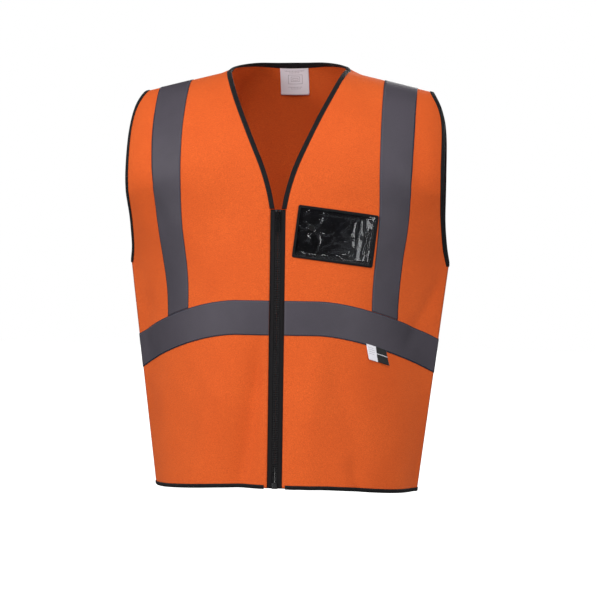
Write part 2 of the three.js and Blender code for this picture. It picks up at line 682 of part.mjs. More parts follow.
// Pocket: a black backing and a clear window, bound together round the edge.
function pocketOutline(inset) {
  const halfWide = POCKET_WIDTH / 2 - inset;
  const halfHigh = POCKET_HEIGHT / 2 - inset;
  const corner = Math.max(POCKET_CORNER - inset, 0.8);
  const line = [];
  for (const [sx, sz, start] of [[1, 1, 0], [-1, 1, 1], [-1, -1, 2], [1, -1, 3]]) {
    for (let k = 0; k <= 2; k += 1) {
      const angle = (start + k / 2) * Math.PI / 2;
      const x = sx * (halfWide - corner) + corner * Math.cos(angle);
      const z = sz * (halfHigh - corner) + corner * Math.sin(angle);
      const turned = new THREE.Vector2(x, z).rotateAround(new THREE.Vector2(), POCKET_TILT);
      line.push([turned.x + POCKET_CENTRE[0], turned.y + POCKET_CENTRE[1]]);
    }
  }
  return line;
}

const BACKING_IN = CLOTH + GAP;
const BACKING_OUT = BACKING_IN + 0.5;
const WINDOW_IN = BACKING_OUT + POCKET_ROOM;
const WINDOW_OUT = WINDOW_IN + 0.4;
const TRIM_OUT = WINDOW_OUT + FOLD_THICKNESS;
const inset = POCKET_TRIM + GAP;
const trimHole = frontPrism(pocketOutline(POCKET_TRIM), 1, -FAR, 0);
const studHole = (radius) => {
  const geometry = new THREE.CylinderGeometry(radius, radius, 60, 16);
  geometry.translate(STUD_PLACE[0], -FRONT_DEPTH, STUD_PLACE[1]);
  return solid(geometry);
};
const studBore = studHole(STUD_RADIUS / 2 + GAP);
const backing = cutFrom(-1, BACKING_IN, BACKING_OUT, pocketOutline(inset), 1);
const windowSheet = cutFrom(-1, WINDOW_IN, WINDOW_OUT, pocketOutline(inset), 1).subtract(studBore);
const trim = cutFrom(-1, BACKING_IN, TRIM_OUT, pocketOutline(0), 1).subtract(trimHole);
add('left_front', 'pocket_backing', backing, 'black');
add('left_front', 'pocket_window', windowSheet, 'vinyl');
add('left_front', 'pocket_trim', trim, 'black');

// Press stud: the cap's post goes through the window, and the base sits on the backing.
const studCap = layer(-1, WINDOW_OUT + GAP, WINDOW_OUT + GAP + 1).intersect(studHole(STUD_RADIUS))
  .add(layer(-1, WINDOW_IN - 0.1, WINDOW_OUT + GAP + 0.5).intersect(studHole(STUD_RADIUS / 2)));
const studBase = layer(-1, BACKING_OUT + GAP, WINDOW_IN - 0.4).intersect(studHole(STUD_RADIUS));
add('left_front', 'stud_cap', studCap, 'zip');
add('left_front', 'stud_base', studBase, 'zip');

// Care label inside the back of the neck, hanging from the binding
const labelFoot = CARE_LABEL_TOP_Z - CARE_LABEL_DROP;
const careLabel = layer(1, -GAP - LABEL_THICKNESS, -GAP)
  .intersect(block([-CARE_LABEL_HALF, CARE_LABEL_HALF], [0, FAR], [labelFoot, FAR]))
  .subtract(planPrism(hole(BINDING_WIDTH + LABEL_GAP), -FAR, FAR));
add('back', 'care_label', careLabel, 'white');

// Side tag, sewn under the lower edge of the waist tape
const tagTop = (x) => waistFoot(x) - LABEL_GAP;
const tagLine = across(tagTop, SIDE_TAG_X, SIDE_TAG_X + SIDE_TAG_WIDTH, 3);
const tagOutline = [...tagLine, ...offsetLine(tagLine, -SIDE_TAG_DROP).reverse()];
add('left_front', 'side_tag', cutFrom(-1, TAPE_IN, TAPE_IN + LABEL_THICKNESS, tagOutline, 1), 'white');

const group = new THREE.Group();
group.name = 'blaze_orange_vest';
for (const [body, pieces] of Object.entries(meshes)) {
  const part = new THREE.Group();
  part.name = `${body}_body`;
  part.add(...pieces);
  group.add(part);
}

export default group;
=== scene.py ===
# %% [markdown]
# # A blaze orange vest
# A safety vest is a few flat panels of knitted polyester, bound with black tape, with grey
# reflective tape sewn on top and a zip down the front. It could be sculpted, or sewn and
# dropped by a cloth solver. Here every piece is worked out from one shared surface instead:
# a smooth body shape with soft folds. Each layer of cloth, tape and thread is that surface
# again, set off by its own distance, so the layers lie on each other as sewn cloth does.

import math

import bpy
import numpy as np
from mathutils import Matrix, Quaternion, Vector


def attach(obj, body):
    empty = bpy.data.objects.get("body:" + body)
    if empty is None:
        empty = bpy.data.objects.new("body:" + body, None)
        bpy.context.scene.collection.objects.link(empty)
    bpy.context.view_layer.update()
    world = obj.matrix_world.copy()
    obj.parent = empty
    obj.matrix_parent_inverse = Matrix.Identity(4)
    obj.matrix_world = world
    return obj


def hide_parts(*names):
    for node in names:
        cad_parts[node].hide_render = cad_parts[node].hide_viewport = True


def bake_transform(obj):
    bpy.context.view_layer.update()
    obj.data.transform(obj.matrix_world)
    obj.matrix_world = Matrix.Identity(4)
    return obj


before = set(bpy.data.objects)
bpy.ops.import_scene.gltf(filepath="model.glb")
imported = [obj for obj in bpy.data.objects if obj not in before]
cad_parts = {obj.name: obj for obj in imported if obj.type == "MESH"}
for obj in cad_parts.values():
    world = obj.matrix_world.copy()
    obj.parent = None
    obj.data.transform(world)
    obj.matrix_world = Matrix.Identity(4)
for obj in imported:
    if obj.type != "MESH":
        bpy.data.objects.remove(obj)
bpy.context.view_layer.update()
MM = 0.001
SIDES = (("left", 1), ("right", -1))

# %% [markdown]
# ## The shape of the body under the cloth
# The real vest hangs on shoulders and chest. A sculpted body would do, but sizes could then
# only be read off it. A horizontal section that changes with height gives the same form from
# a few numbers: each half is one cubic curve from the middle round to the side seam.

# %% Smooth changes between known values
def smooth(t):
    """Rises from 0 to 1 as t does, level at both ends: three t squared minus two t cubed."""
    t = np.clip(t, 0, 1)
    return t * t * (3 - 2 * t)


def rise(value, start, end):
    """0 before start, 1 after end, and smooth between."""
    return smooth((value - start) / (end - start))


def between(stops, z):
    """A cubic through (height, value) stops, listed from the top down, flat beyond the ends."""
    h, v = np.array(stops, float).T
    slope = np.gradient(v, h)
    slope[1:-1] = (v[2:] - v[:-2]) / (h[2:] - h[:-2])
    z = np.clip(z, h[-1], h[0])
    i = np.clip(np.searchsorted(-h, -z, side="right") - 1, 0, len(h) - 2)
    span = h[i + 1] - h[i]
    t = (z - h[i]) / span
    bend = t * (1 - t) ** 2 * span * slope[i] - t * t * (1 - t) * span * slope[i + 1]
    return v[i] + (v[i + 1] - v[i]) * t * t * (3 - 2 * t) + bend


# %% Sections of the body, in millimetres
NECK_HALF, NECK_BACK, NECK_FOOT = 85, 65, -209
ARMPIT_HALF, ARMPIT_Z, SIDE_TAPER = 242, -283, 0.125
SHOULDER_ROUND, SHOULDER_SLOPE = 150, 0.24
FRONT_DEPTH, MIDDLE_HALF = 122, 16
NAPE_LIFT, NAPE_HALF = 53, 120
HALF_STOPS = [(0, 228), (-70, 241), (-150, 247), (ARMPIT_Z, ARMPIT_HALF)]
SEAM_STOPS = [(-150, 0), (-215, 14), (ARMPIT_Z, 30), (-330, 30)]
BACK_DEPTH = [(0, 104), (-150, 108), (-283, 125), (-370, 130), (-650, 126)]
FLAT = {
    -1: [(0, 180), (-120, 195), (-200, 165), (-283, 150), (-650, 150)],
    1: [(0, 185), (-120, 190), (-283, 180), (-650, 165)],
}
FRONT_TURN_X = [(0, 234), (-120, 250), (-200, 225), (-283, 190), (-370, 172), (-650, 176)]
TURN_Y = {
    -1: [(0, 80), (-120, 85), (-200, 62), (-283, 50), (-370, 42), (-650, 36)],
    1: [(0, 80), (-120, 85), (-283, 105), (-650, 100)],
}


def half_width(z):
    """Half the garment's width: straight side seams below the armpits."""
    below = ARMPIT_HALF + (z - ARMPIT_Z) * SIDE_TAPER
    return np.where(z <= ARMPIT_Z, below, between(HALF_STOPS, z))


def section(side, u, z):
    """x and y of the section at height z, for the front (-1) or back (1).
    A cubic curve: flat in the middle at u = 0, and on the side seam at u = 1."""
    half = half_width(z)
    above = np.maximum(0, (z + 200) / 200)
    depth = FRONT_DEPTH - 16 * above**2 if side < 0 else between(BACK_DEPTH, z)
    flat = between(FLAT[side], z)
    turn_x = between(FRONT_TURN_X, z) if side < 0 else half
    turn_y = between(TURN_Y[side], z)
    v = 1 - u
    a, b, c, d = v**3, 3 * u * v * v, 3 * u * u * v, u**3
    x = a * MIDDLE_HALF + b * flat + c * turn_x + d * half
    y = side * ((a + b) * depth + c * turn_y) + d * between(SEAM_STOPS, z)
    in_middle = u < 0
    x = np.where(in_middle, MIDDLE_HALF + 3 * (flat - MIDDLE_HALF) * u, x)
    return x, np.where(in_middle, side * depth, y)


def skin(side, u, s):
    """The inner face of the cloth, on the wearer's left. s is 0 on the shoulder seam and 1
    where the shoulder has rounded over by a quarter circle, then runs straight down."""
    turn = np.minimum(s, 1) * math.pi / 2
    level = np.where(s <= 1, -SHOULDER_ROUND * (1 - np.cos(turn)), -SHOULDER_ROUND * s)
    x, y = section(side, u, level)
    fade = np.clip((level - ARMPIT_Z) / (-SHOULDER_ROUND - ARMPIT_Z), 0, 1)
    drop = SHOULDER_SLOPE * np.maximum(0, x - NECK_HALF) * fade
    nape = np.maximum(0, 1 - (x / NAPE_HALF) ** 2) if side > 0 else 0
    lift = NAPE_LIFT * nape * np.sin(2 * turn)
    return np.stack([x, y * np.sin(turn), level - drop + lift], -1)


print("half width at the armpit", float(half_width(np.array(-283.0))), "mm")

# %% [markdown]
# ## Folds
# Hanging cloth keeps a few soft folds: here a deep one beside the zip, slack under the
# armholes and flutes along the hem. A solver would find its own folds, in its own places.
# These have known places, so each is written as a line with a width and a depth, and the
# surface moves along its own normal by their sum. Folds fade out where cloth is sewn down.

# %% The folds and where they fade
# Each fold: start (x, z), end (x, z), half its width, and how far it stands out, in mm.
FRONT_FOLDS = [
    ((-12, -380), (-56, -640), 17, -8.5),
    ((-62, -400), (-128, -640), 28, 5.5),
    ((-176, -420), (-182, -640), 22, 2.2),
    ((-204, -330), (-216, -420), 11, -2.0),
    ((-50, -170), (-150, -330), 34, -3.0),
    ((-178, -90), (-196, -260), 20, -2.2),
    ((-118, -60), (-96, -190), 30, 2.4),
    ((62, -392), (30, -640), 22, 4.2),
    ((76, -400), (120, -570), 20, -4.0),
    ((28, -545), (42, -650), 9, -3.4),
    ((108, -560), (128, -655), 11, -3.6),
    ((168, -400), (176, -640), 26, 3.4),
    ((236, -300), (182, -410), 11, -3.4),
    ((196, -90), (206, -240), 16, -2.4),
    ((112, -50), (92, -180), 30, 2.2),
    ((206, -560), (196, -660), 12, -2.2),
]
BACK_FOLDS = [
    ((-30, -330), (-52, -640), 26, 3.6),
    ((26, -340), (44, -640), 30, -3.4),
    ((96, -300), (124, -640), 26, 3.2),
    ((-112, -300), (-138, -640), 28, -3.6),
    ((-196, -330), (-190, -640), 20, 3.0),
    ((186, -340), (196, -640), 20, -3.0),
    ((0, -40), (0, -250), 46, -2.4),
    ((-120, -60), (-60, -260), 30, 2.0),
    ((130, -60), (70, -250), 30, 1.8),
]
POCKET_MIDDLE = np.array([81.7, -247.0])
POCKET_ROOM_HALF = np.array([66.0, 46.0])


def folds(side, x, z):
    """The sum of the folds: a bell curve across each line, fading at both of its ends."""
    total = np.zeros_like(x)
    for (x0, z0), (x1, z1), width, height in FRONT_FOLDS if side < 0 else BACK_FOLDS:
        run = np.array([x1 - x0, z1 - z0], float)
        length = np.hypot(*run)
        run /= length
        along = ((x - x0) * run[0] + (z - z0) * run[1]) / length
        across = (x - x0) * run[1] - (z - z0) * run[0]
        ends = rise(along, -0.05, 0.35) * (1 - rise(along, 0.8, 1.25))
        total += height * ends * np.exp(-((across / width) ** 2))
    ripple = np.sin(x / 23 + z / 61) * np.sin(z / 47 - x / 71 + side)
    return total + 0.5 * ripple + 0.22 * np.sin(x / 8.3 + z / 19 + 2 * np.sin(z / 37))


def slack(side, x, z, u, s):
    """How far the cloth stands off its plain shape: the folds, held down where it is sewn."""
    free = rise(s, 0.0, 0.5) * (1 - rise(u, 0.9, 1.0))
    if side < 0:
        free = free * rise(np.abs(x), 13, 30)
        away = np.stack([x, z], -1) - POCKET_MIDDLE
        outside = np.max(np.abs(away) / POCKET_ROOM_HALF, axis=-1)
        free = free * rise(outside, 1.0, 1.35)
    return folds(side, x, z) * free


# %% The draped surface and its layers
STEP, TINY = 1e-3, 1e-12


def normal_of(surface, u, s, side):
    """The unit vector square to a surface, outwards, from small steps each way."""
    across = surface(u + STEP, s) - surface(u - STEP, s)
    down = surface(u, s + STEP) - surface(u, s - STEP)
    n = np.cross(across, down) * side
    return n / np.maximum(np.linalg.norm(n, axis=-1, keepdims=True), TINY)


def draped(side, sign, u, s):
    """The skin moved along its normal by the slack, still as if on the wearer's left."""
    at = skin(side, u, s)
    n = normal_of(lambda a, b: skin(side, a, b), u, s, side)
    return at + n * slack(side, sign * at[..., 0], at[..., 2], u, s)[..., None]


def outward(side, sign, u, s):
    """The draped surface's normal. Front and back share one direction on the side seam."""
    n = normal_of(lambda a, b: draped(side, sign, a, b), u, s, side)
    seam = np.ones_like(u)
    other = normal_of(lambda a, b: skin(-side, a, b), seam, s, -side)
    n = n + other * (rise(u, 0.97, 1.0))[..., None]
    return n / np.linalg.norm(n, axis=-1, keepdims=True)


def lay(side, sign, u, s, off):
    """Points that far off the draped surface, in millimetres, on the chosen half."""
    u, s = np.broadcast_arrays(np.asarray(u, float), np.asarray(s, float))
    points = draped(side, sign, u, s)
    points = points + outward(side, sign, u, s) * np.asarray(off, float)[..., None]
    return points * np.array([sign, 1, 1])


def lay_across(side, x, u, s, off):
    """The same for a piece that lies over the middle: each half takes its own side's folds."""
    left, right = (lay(side, sign, u, s, off) for sign in (1, -1))
    return np.where((x >= 0)[..., None], left, right)


print(len(FRONT_FOLDS), "folds in front and", len(BACK_FOLDS), "behind")

# %% [markdown]
# ## Edges and seams as lines on the surface
# A pattern cutter draws edges on flat cloth. Here they are lines seen from the front, found
# on the surface by halving an interval again and again, for every row at once. That is slower
# than a formula, but it works for any line and any shape.

# %% Lines seen from the front
def spline(points, count=90):
    """A smooth line through the points: cubics whose slopes come from their neighbours."""
    p = np.array(points, float)
    q = np.vstack([p[:1], p, p[-1:]])
    t = np.linspace(0, len(p) - 1, count)
    i = np.minimum(t.astype(int), len(p) - 2)
    f = (t - i)[:, None]
    a, b, c, d = q[i], q[i + 1], q[i + 2], q[i + 3]
    leave, arrive = (c - a) / 2, (d - b) / 2
    cubic = (2 * b - 2 * c + leave + arrive) * f**3
    return cubic + (3 * c - 3 * b - 2 * leave - arrive) * f**2 + leave * f + b


def aside(line, distance):
    """The line moved sideways, to its left as it is walked."""
    run = np.gradient(line, axis=0)
    run /= np.linalg.norm(run, axis=1, keepdims=True)
    return line + distance * np.stack([-run[:, 1], run[:, 0]], 1)


def x_at(line):
    """The line as x for any height z."""
    order = np.argsort(line[:, 1])
    return lambda z: np.interp(z, line[order, 1], line[order, 0])


def upright(x):
    """A straight upright line, as x for any height z."""
    return lambda z: z * 0 + x


NECK_POINTS = [(NECK_HALF, 0), (66, -45), (39, -106), (21, -148), (10.5, -182), (5, NECK_FOOT)]
ARM_FOOT = -289
ARM_POINTS = [
    (243.5, ARM_FOOT), (237.5, -258), (235, -215), (235, -150), (234.5, -90), (229, -58),
    (216, -30),
]
NECK_LINE = np.vstack([[(NECK_HALF, 60)], spline(NECK_POINTS)])
ARM_LINE = np.vstack([spline(ARM_POINTS), [(210, 60)]])


LEVEL_HALF, FALL_WIDTH, FALL_POWER = 55, 176, 1.8
TAPE_WIDTH = 50
WAIST_Z, WAIST_FALL, WAIST_SLANT = -340.5, 60, 5
HEM_Z, HEM_FALL = -612, 24


def side_fall(x):
    """The share by which a line has dropped towards the sides: 0 in the level middle, then a
    power of the distance beyond it."""
    return (np.maximum(0, np.abs(x) - LEVEL_HALF) / FALL_WIDTH) ** FALL_POWER


def waist_top(x):
    """The upper edge of the waist band: its height in the middle, less its fall."""
    return WAIST_Z - WAIST_FALL * side_fall(x)


def waist_foot(x):
    """The lower edge: one tape width down in the middle, and a little more at the sides."""
    return waist_top(x) - TAPE_WIDTH - WAIST_SLANT * side_fall(x)


def hem(x):
    """The hem: its height in the middle, less its fall."""
    return HEM_Z - HEM_FALL * side_fall(x)


# %% Where a line lies on the surface
LEAST_U, HALVINGS, NEWTON_STEPS = -0.06, 34, 14


def find_u(side, s_of, r, x_of):
    """For each row r, the u where the surface meets the line x_of(z): x grows with u, so
    the interval is halved towards the crossing. It stops at the side seam."""
    low, high = np.full_like(r, LEAST_U), np.ones_like(r)
    for _ in range(HALVINGS):
        mid = (low + high) / 2
        at = skin(side, mid, s_of(mid, r))
        inside = at[..., 0] < x_of(at[..., 2])
        low, high = np.where(inside, mid, low), np.where(inside, high, mid)
    return (low + high) / 2


def find_s(side, u, z_of):
    """For each u, the s where the surface comes down to the line z_of(x)."""
    low, high = np.full_like(u, 0.6), np.full_like(u, 4.6)
    for _ in range(HALVINGS):
        mid = (low + high) / 2
        at = skin(side, u, mid)
        above = at[..., 2] > z_of(at[..., 0])
        low, high = np.where(above, mid, low), np.where(above, high, mid)
    return (low + high) / 2


def down_to(side, z_of):
    """The same, as a quick function of u, read from a fine table."""
    table_u = np.linspace(LEAST_U, 1.02, 240)
    table_s = find_s(side, table_u, z_of)
    return lambda u: np.interp(u, table_u, table_s)


def rows_to(foot):
    """Rows between the shoulder and a line: s is the share r of the line's own s."""
    return lambda u, r: r * foot(u)


def on_row(u, s):
    """Rows that are already values of s."""
    return s


def plan_spot(side, x, y):
    """u and s of points given from above, by Newton's steps from a fair guess."""
    s = np.arcsin(np.clip(y / 106, -1, 1)) / (math.pi / 2)
    u = np.clip(x / 400, 0, 1)
    return newton(side, u, s, x, y, 1)


def front_spot(side, x, z):
    """u and s of points given from the front, by the same steps."""
    return newton(side, x / 400, -z / SHOULDER_ROUND, x, z, 2)


def newton(side, u, s, x, other, axis):
    """Newton's steps: the miss in x and in one other axis, divided by the two slopes."""
    for _ in range(NEWTON_STEPS):
        at = skin(side, u, s)
        du = (skin(side, u + STEP, s) - at) / STEP
        ds = (skin(side, u, s + STEP) - at) / STEP
        miss_x, miss_o = x - at[..., 0], other - at[..., axis]
        det = du[..., 0] * ds[..., axis] - ds[..., 0] * du[..., axis]
        u = u + (miss_x * ds[..., axis] - ds[..., 0] * miss_o) / det
        s = s + (du[..., 0] * miss_o - du[..., axis] * miss_x) / det
    return u, s


# %% [markdown]
# ## Turning grids of points into closed cloth
# A surface with a Solidify modifier would be quick, but its rim is square and it can't be
# thicker at a fold. Two grids, the outer and the inner face, joined round the rim, are one
# closed body, and the cloth's own two directions go into its UV map in real metres.

# %% Mesh makers
def cells(rows, columns, first=0, wrap_rows=False, wrap_columns=False):
    """The corners of each four-sided face of a grid of points."""
    r = np.arange(rows if wrap_rows else rows - 1)[:, None]
    c = np.arange(columns if wrap_columns else columns - 1)[None, :]
    r1, c1 = (r + 1) % rows, (c + 1) % columns
    corners = [r * columns + c, r * columns + c1, r1 * columns + c1, r1 * columns + c]
    corners = [np.broadcast_to(corner, (r.size, c.size)) for corner in corners]
    return np.stack(corners, -1).reshape(-1, 4) + first


def volume(points, faces):
    """Six times the signed volume: positive if the faces point outwards."""
    a, b, c, d = (points[faces[:, k]] for k in range(4))
    first = np.einsum("ij,ij->", a, np.cross(b, c))
    return first + np.einsum("ij,ij->", a, np.cross(c, d))


def make(name, points, faces, uv=None, caps=()):
    """A mesh object from points in mm, four-sided faces, and end caps with more corners."""
    caps = [list(cap) for cap in caps]
    if volume(points - points.mean(0), faces) < 0:
        faces = faces[:, ::-1]
        caps = [cap[::-1] for cap in caps]
    mesh = bpy.data.meshes.new(name)
    mesh.from_pydata((points * MM).tolist(), [], faces.tolist() + caps)
    mesh.polygons.foreach_set("use_smooth", np.ones(len(mesh.polygons), bool))
    if uv is not None:
        corner = np.zeros(len(mesh.loops), np.int32)
        mesh.loops.foreach_get("vertex_index", corner)
        layer = mesh.uv_layers.new(name="cloth")
        layer.data.foreach_set("uv", (uv[corner] * MM).astype(np.float32).ravel())
    mesh.validate()
    piece = bpy.data.objects.new(name, mesh)
    bpy.context.scene.collection.objects.link(piece)
    return piece


def lengths(grid, axis):
    """How far each point lies along the rows or columns of a grid, from its first point."""
    steps = np.linalg.norm(np.diff(grid, axis=axis), axis=-1)
    start = np.zeros_like(np.take(steps, [0], axis))
    return np.concatenate([start, np.cumsum(steps, axis)], axis)


def shell(name, outer, inner):
    """A closed sheet between an outer and an inner grid of points."""
    rows, columns = outer.shape[:2]
    count = rows * columns
    faces = [cells(rows, columns), cells(rows, columns, count)[:, ::-1]]
    grid = np.arange(count).reshape(rows, columns)
    rim = np.concatenate([grid[0, :-1], grid[:-1, -1], grid[-1, :0:-1], grid[:0:-1, 0]])
    after = np.roll(rim, -1)
    faces.append(np.stack([after, rim, rim + count, after + count], -1))
    uv = np.stack([lengths(outer, 1), lengths(outer, 0)], -1).reshape(-1, 2)
    points = np.concatenate([outer.reshape(-1, 3), inner.reshape(-1, 3)])
    return make(name, points, np.concatenate(faces), np.concatenate([uv, uv]))


def tube(name, rings, loop=False):
    """A closed profile carried along a path: rings of points, capped unless it is a loop."""
    rows, columns = rings.shape[:2]
    faces = cells(rows, columns, 0, wrap_rows=loop, wrap_columns=True)
    uv = np.stack([lengths(rings, 1), lengths(rings, 0)], -1).reshape(-1, 2)
    last = (rows - 1) * columns
    caps = () if loop else (range(columns - 1, -1, -1), range(last, last + columns))
    return make(name, rings.reshape(-1, 3), faces, uv, caps)


print("mesh makers ready")

# %% [markdown]
# ## How the pieces move
# The zip lets the two fronts swing open on the side seams. The lower part of a front swings
# as one, and the cloth between it and the shoulder has to turn smoothly, as real cloth
# would. Each other piece rides on the empty of its body; each piece that reaches the shoulder
# has its place baked into its mesh and rides on none.

# %% Riding on a body, or baked in place
made = []


def finish_piece(piece, body, stands_for, material, bends=False):
    """Rides the piece on its body's empty, or, when bends is set, bakes its place into its mesh and
    leaves it on no body; hides the CAD nodes it stands for, and colours it.
    """
    if bends:
        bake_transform(piece)
    else:
        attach(piece, body)
    if stands_for:
        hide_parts(*stands_for)
    piece.data.materials.append(material)
    made.append(piece)
    return piece


def say(piece):
    """Prints a piece's faces and its size along x, y and z."""
    size = [max(c) - min(c) for c in zip(*[tuple(v.co) for v in piece.data.vertices])]
    print(piece.name, len(piece.data.polygons), "faces,", [round(v * 1000) for v in size], "mm")

# %% [markdown]
# ## Finishes
# A finish can be a picture or a network of nodes. A picture has one size and needs a file.
# Nodes work at any size, and the cloth's UV map is in real metres, so a stitch of the knit
# or a rib of the binding can be given its true size.

# %% A short way to write material nodes
class Finish:
    """A material, with short calls for the nodes that feed its main shader."""

    def __init__(self, name, **settings):
        self.material = bpy.data.materials.new(name)
        self.material.use_nodes = True
        self.tree = self.material.node_tree
        self.shader = self.tree.nodes["Principled BSDF"]
        for socket, value in settings.items():
            self.shader.inputs[socket.replace("_", " ")].default_value = value

    def node(self, kind, inputs=(), output=0, **settings):
        made_node = self.tree.nodes.new(kind)
        for key, value in settings.items():
            setattr(made_node, key, value)
        for socket, value in dict(inputs).items():
            self.join(made_node.inputs[socket], value)
        return made_node.outputs[output]

    def join(self, socket, value):
        if isinstance(value, bpy.types.NodeSocket):
            self.tree.links.new(value, socket)
        elif value is not None:
            socket.default_value = value

    def math(self, operation, a, b=None, c=None):
        return self.node("ShaderNodeMath", {0: a, 1: b, 2: c}, operation=operation)

    def wave(self, value, pitch):
        """A sine from 0 to 1 that repeats once every pitch."""
        turns = self.math("SINE", self.math("MULTIPLY", value, 2 * math.pi / pitch))
        return self.math("MULTIPLY_ADD", turns, 0.5, 0.5)

    def band(self, value, start, end):
        """0 below start and 1 above end."""
        inputs = {"Value": value, 1: start, 2: end}
        return self.node("ShaderNodeMapRange", inputs, interpolation_type="SMOOTHSTEP")

    def noise(self, scale, detail=2.0, where=None):
        place = where or self.node("ShaderNodeTexCoord", output="Object")
        return self.node("ShaderNodeTexNoise", {"Vector": place, "Scale": scale, "Detail": detail})

    def mix(self, share, first, second):
        inputs = {"Factor": share, 6: first, 7: second}
        return self.node("ShaderNodeMix", inputs, output=2, data_type="RGBA")

    def cloth_uv(self):
        place = self.node("ShaderNodeUVMap", uv_map="cloth")
        parts = self.tree.nodes.new("ShaderNodeSeparateXYZ")
        self.tree.links.new(place, parts.inputs[0])
        return parts.outputs[0], parts.outputs[1]

    def raise_by(self, height, distance, strength=1.0):
        inputs = {"Height": height, "Distance": distance, "Strength": strength}
        self.join(self.shader.inputs["Normal"], self.node("ShaderNodeBump", inputs))

    def colour(self, value):
        self.join(self.shader.inputs["Base Color"], value)
        return self.material


def paint(r, g, b):
    """A colour given as it looks on a screen, 0 to 255, as the shader needs it."""
    share = np.array([r, g, b]) / 255
    return (*np.where(share < 0.04045, share / 12.92, ((share + 0.055) / 1.055) ** 2.4), 1.0)


# %% [markdown]
# ### Orange knit
# The panels are warp-knit polyester, dyed a fluorescent orange: fine columns of V-shaped
# stitches, a little fuzzy. Their colour is painted darker in the grooves between the stitches,
# as painted shade, and lighter on their crowns, where the light is straight on, as a painted
# highlight. The Vs are a sine down the cloth whose phase leans one way on each half of a column.

# %% Orange knit
COLUMN, COURSE = 1.1 * MM, 0.9 * MM


def knit(finish):
    """The height of the knit: leaning rows of stitches between the grooves of the columns."""
    across, down = finish.cloth_uv()
    column = finish.math("PINGPONG", across, COLUMN / 2)
    leaning = finish.math("MULTIPLY_ADD", column, 1.3, down)
    groove = finish.wave(across, COLUMN)
    return finish.math("MULTIPLY", finish.wave(leaning, COURSE), finish.math("POWER", groove, 0.4))


orange = Finish("orange_knit", Roughness=0.8, Specular_IOR_Level=0.25, Sheen_Weight=0.12,
                Sheen_Roughness=0.5, Sheen_Tint=paint(255, 170, 90))
stitches_up = knit(orange)
orange.raise_by(stitches_up, 0.00016, 0.6)
cloudy = orange.band(orange.noise(9.0, 3.0), 0.3, 0.7)
deep = orange.mix(cloudy, paint(226, 97, 34), paint(236, 105, 39))
# Painted shade and highlight: darker in the grooves between the stitches and lighter on their
# crowns, with a little fine random tone.
stitch_shade_and_tone = orange.math("MULTIPLY_ADD", stitches_up, 0.16, orange.noise(900.0, 1.0))
stitch_lit_share = orange.band(stitch_shade_and_tone, 0.3, 0.8)
orange_knit = orange.colour(orange.mix(stitch_lit_share, paint(208, 81, 27), deep))

# %% [markdown]
# ### Reflective tape
# The tape is cloth coated with tiny glass beads. It is grey by day, a little glossy, with a
# bare woven margin along both edges and the faint cross lines that its backing presses in.

# %% Reflective tape
tape = Finish("reflective_tape", Roughness=0.6, Specular_IOR_Level=0.3)
tape_across, tape_down = tape.cloth_uv()
from_edge = tape.math("MINIMUM", tape_across, tape.math("SUBTRACT", TAPE_WIDTH * MM, tape_across))
beads = tape.noise(2600.0, 1.0)
cross = tape.math("MULTIPLY", tape.wave(tape_across, 0.0009), tape.wave(tape_down, 0.0009))
tape.raise_by(tape.math("ADD", beads, tape.math("MULTIPLY", cross, 0.5)), 0.00006, 0.7)
streak = tape.band(tape.noise(14.0, 4.0), 0.25, 0.75)
grey = tape.mix(streak, paint(68, 64, 72), paint(76, 71, 80))
# Painted glints: the grey is lighter where the bead noise is high, on the raised beads.
painted_bead_glint = tape.band(beads, 0.35, 0.75)
grey = tape.mix(tape.math("MULTIPLY", painted_bead_glint, 0.35), grey, paint(94, 90, 100))
in_margin = tape.band(from_edge, 0.0006, 0.0011)
reflective_tape = tape.colour(tape.mix(in_margin, paint(46, 50, 64), grey))

# %% [markdown]
# ### Black tapes, thread, plastic and metal
# The binding is ribbed across its length, the zip tape is woven in a herringbone, and the
# thread is twisted. The slider is painted and the stud is plastic, with noise in their gloss.
# The stops and the box are bright aluminium with a drawn grain, and the pins are dark.

# %% Black binding, zip tape and threads
def ribbed(name, colour, dark_and_groove_shade, pitch, depth):
    """Woven black tape: ribs across its length, with a painted highlight on their crowns in patches
    and painted shade in their grooves.
    """
    finish = Finish(name, Roughness=0.72, Specular_IOR_Level=0.3, Sheen_Weight=0.06,
                    Sheen_Roughness=0.4)
    across, down = finish.cloth_uv()
    ribs = finish.wave(down, pitch)
    yarns = finish.wave(across, pitch * 0.8)
    height = finish.math("MULTIPLY_ADD", yarns, 0.35, ribs)
    finish.raise_by(height, depth, 0.8)
    # Painted highlight and shade: the lighter colour on the rib crowns where the noise is high, the
    # dark one in the grooves and elsewhere.
    patchy_crown_highlight = finish.math("MULTIPLY", finish.band(finish.noise(160.0, 3.0), 0.4, 0.75), ribs)
    finish.colour(finish.mix(patchy_crown_highlight, dark_and_groove_shade, colour))
    return finish.material


def herringbone(name):
    """Twill that leans one way and then the other, in stripes along the tape, lighter on its raised
    yarns as a painted highlight and darker between them as painted shade.
    """
    finish = Finish(name, Roughness=0.7, Specular_IOR_Level=0.25)
    across, down = finish.cloth_uv()
    zigzag = finish.math("PINGPONG", across, 1.6 * MM)
    height = finish.wave(finish.math("ADD", down, zigzag), 0.9 * MM)
    finish.raise_by(height, 0.00014, 0.8)
    # Painted highlight and shade: the colour follows the twill's height.
    finish.colour(finish.mix(height, paint(12, 11, 13), paint(27, 25, 28)))
    return finish.material


def twisted(name, dark, light):
    """Sewing thread: plies that wind round it as it goes, with painted shade between them and a
    painted highlight on their crowns.
    """
    finish = Finish(name, Roughness=0.6, Sheen_Weight=0.2)
    across, down = finish.cloth_uv()
    plies = finish.wave(finish.math("ADD", across, down), 0.35 * MM)
    finish.raise_by(plies, 0.00005, 0.6)
    # Painted highlight and shade: the colour follows the plies' height.
    finish.colour(finish.mix(plies, dark, light))
    return finish.material


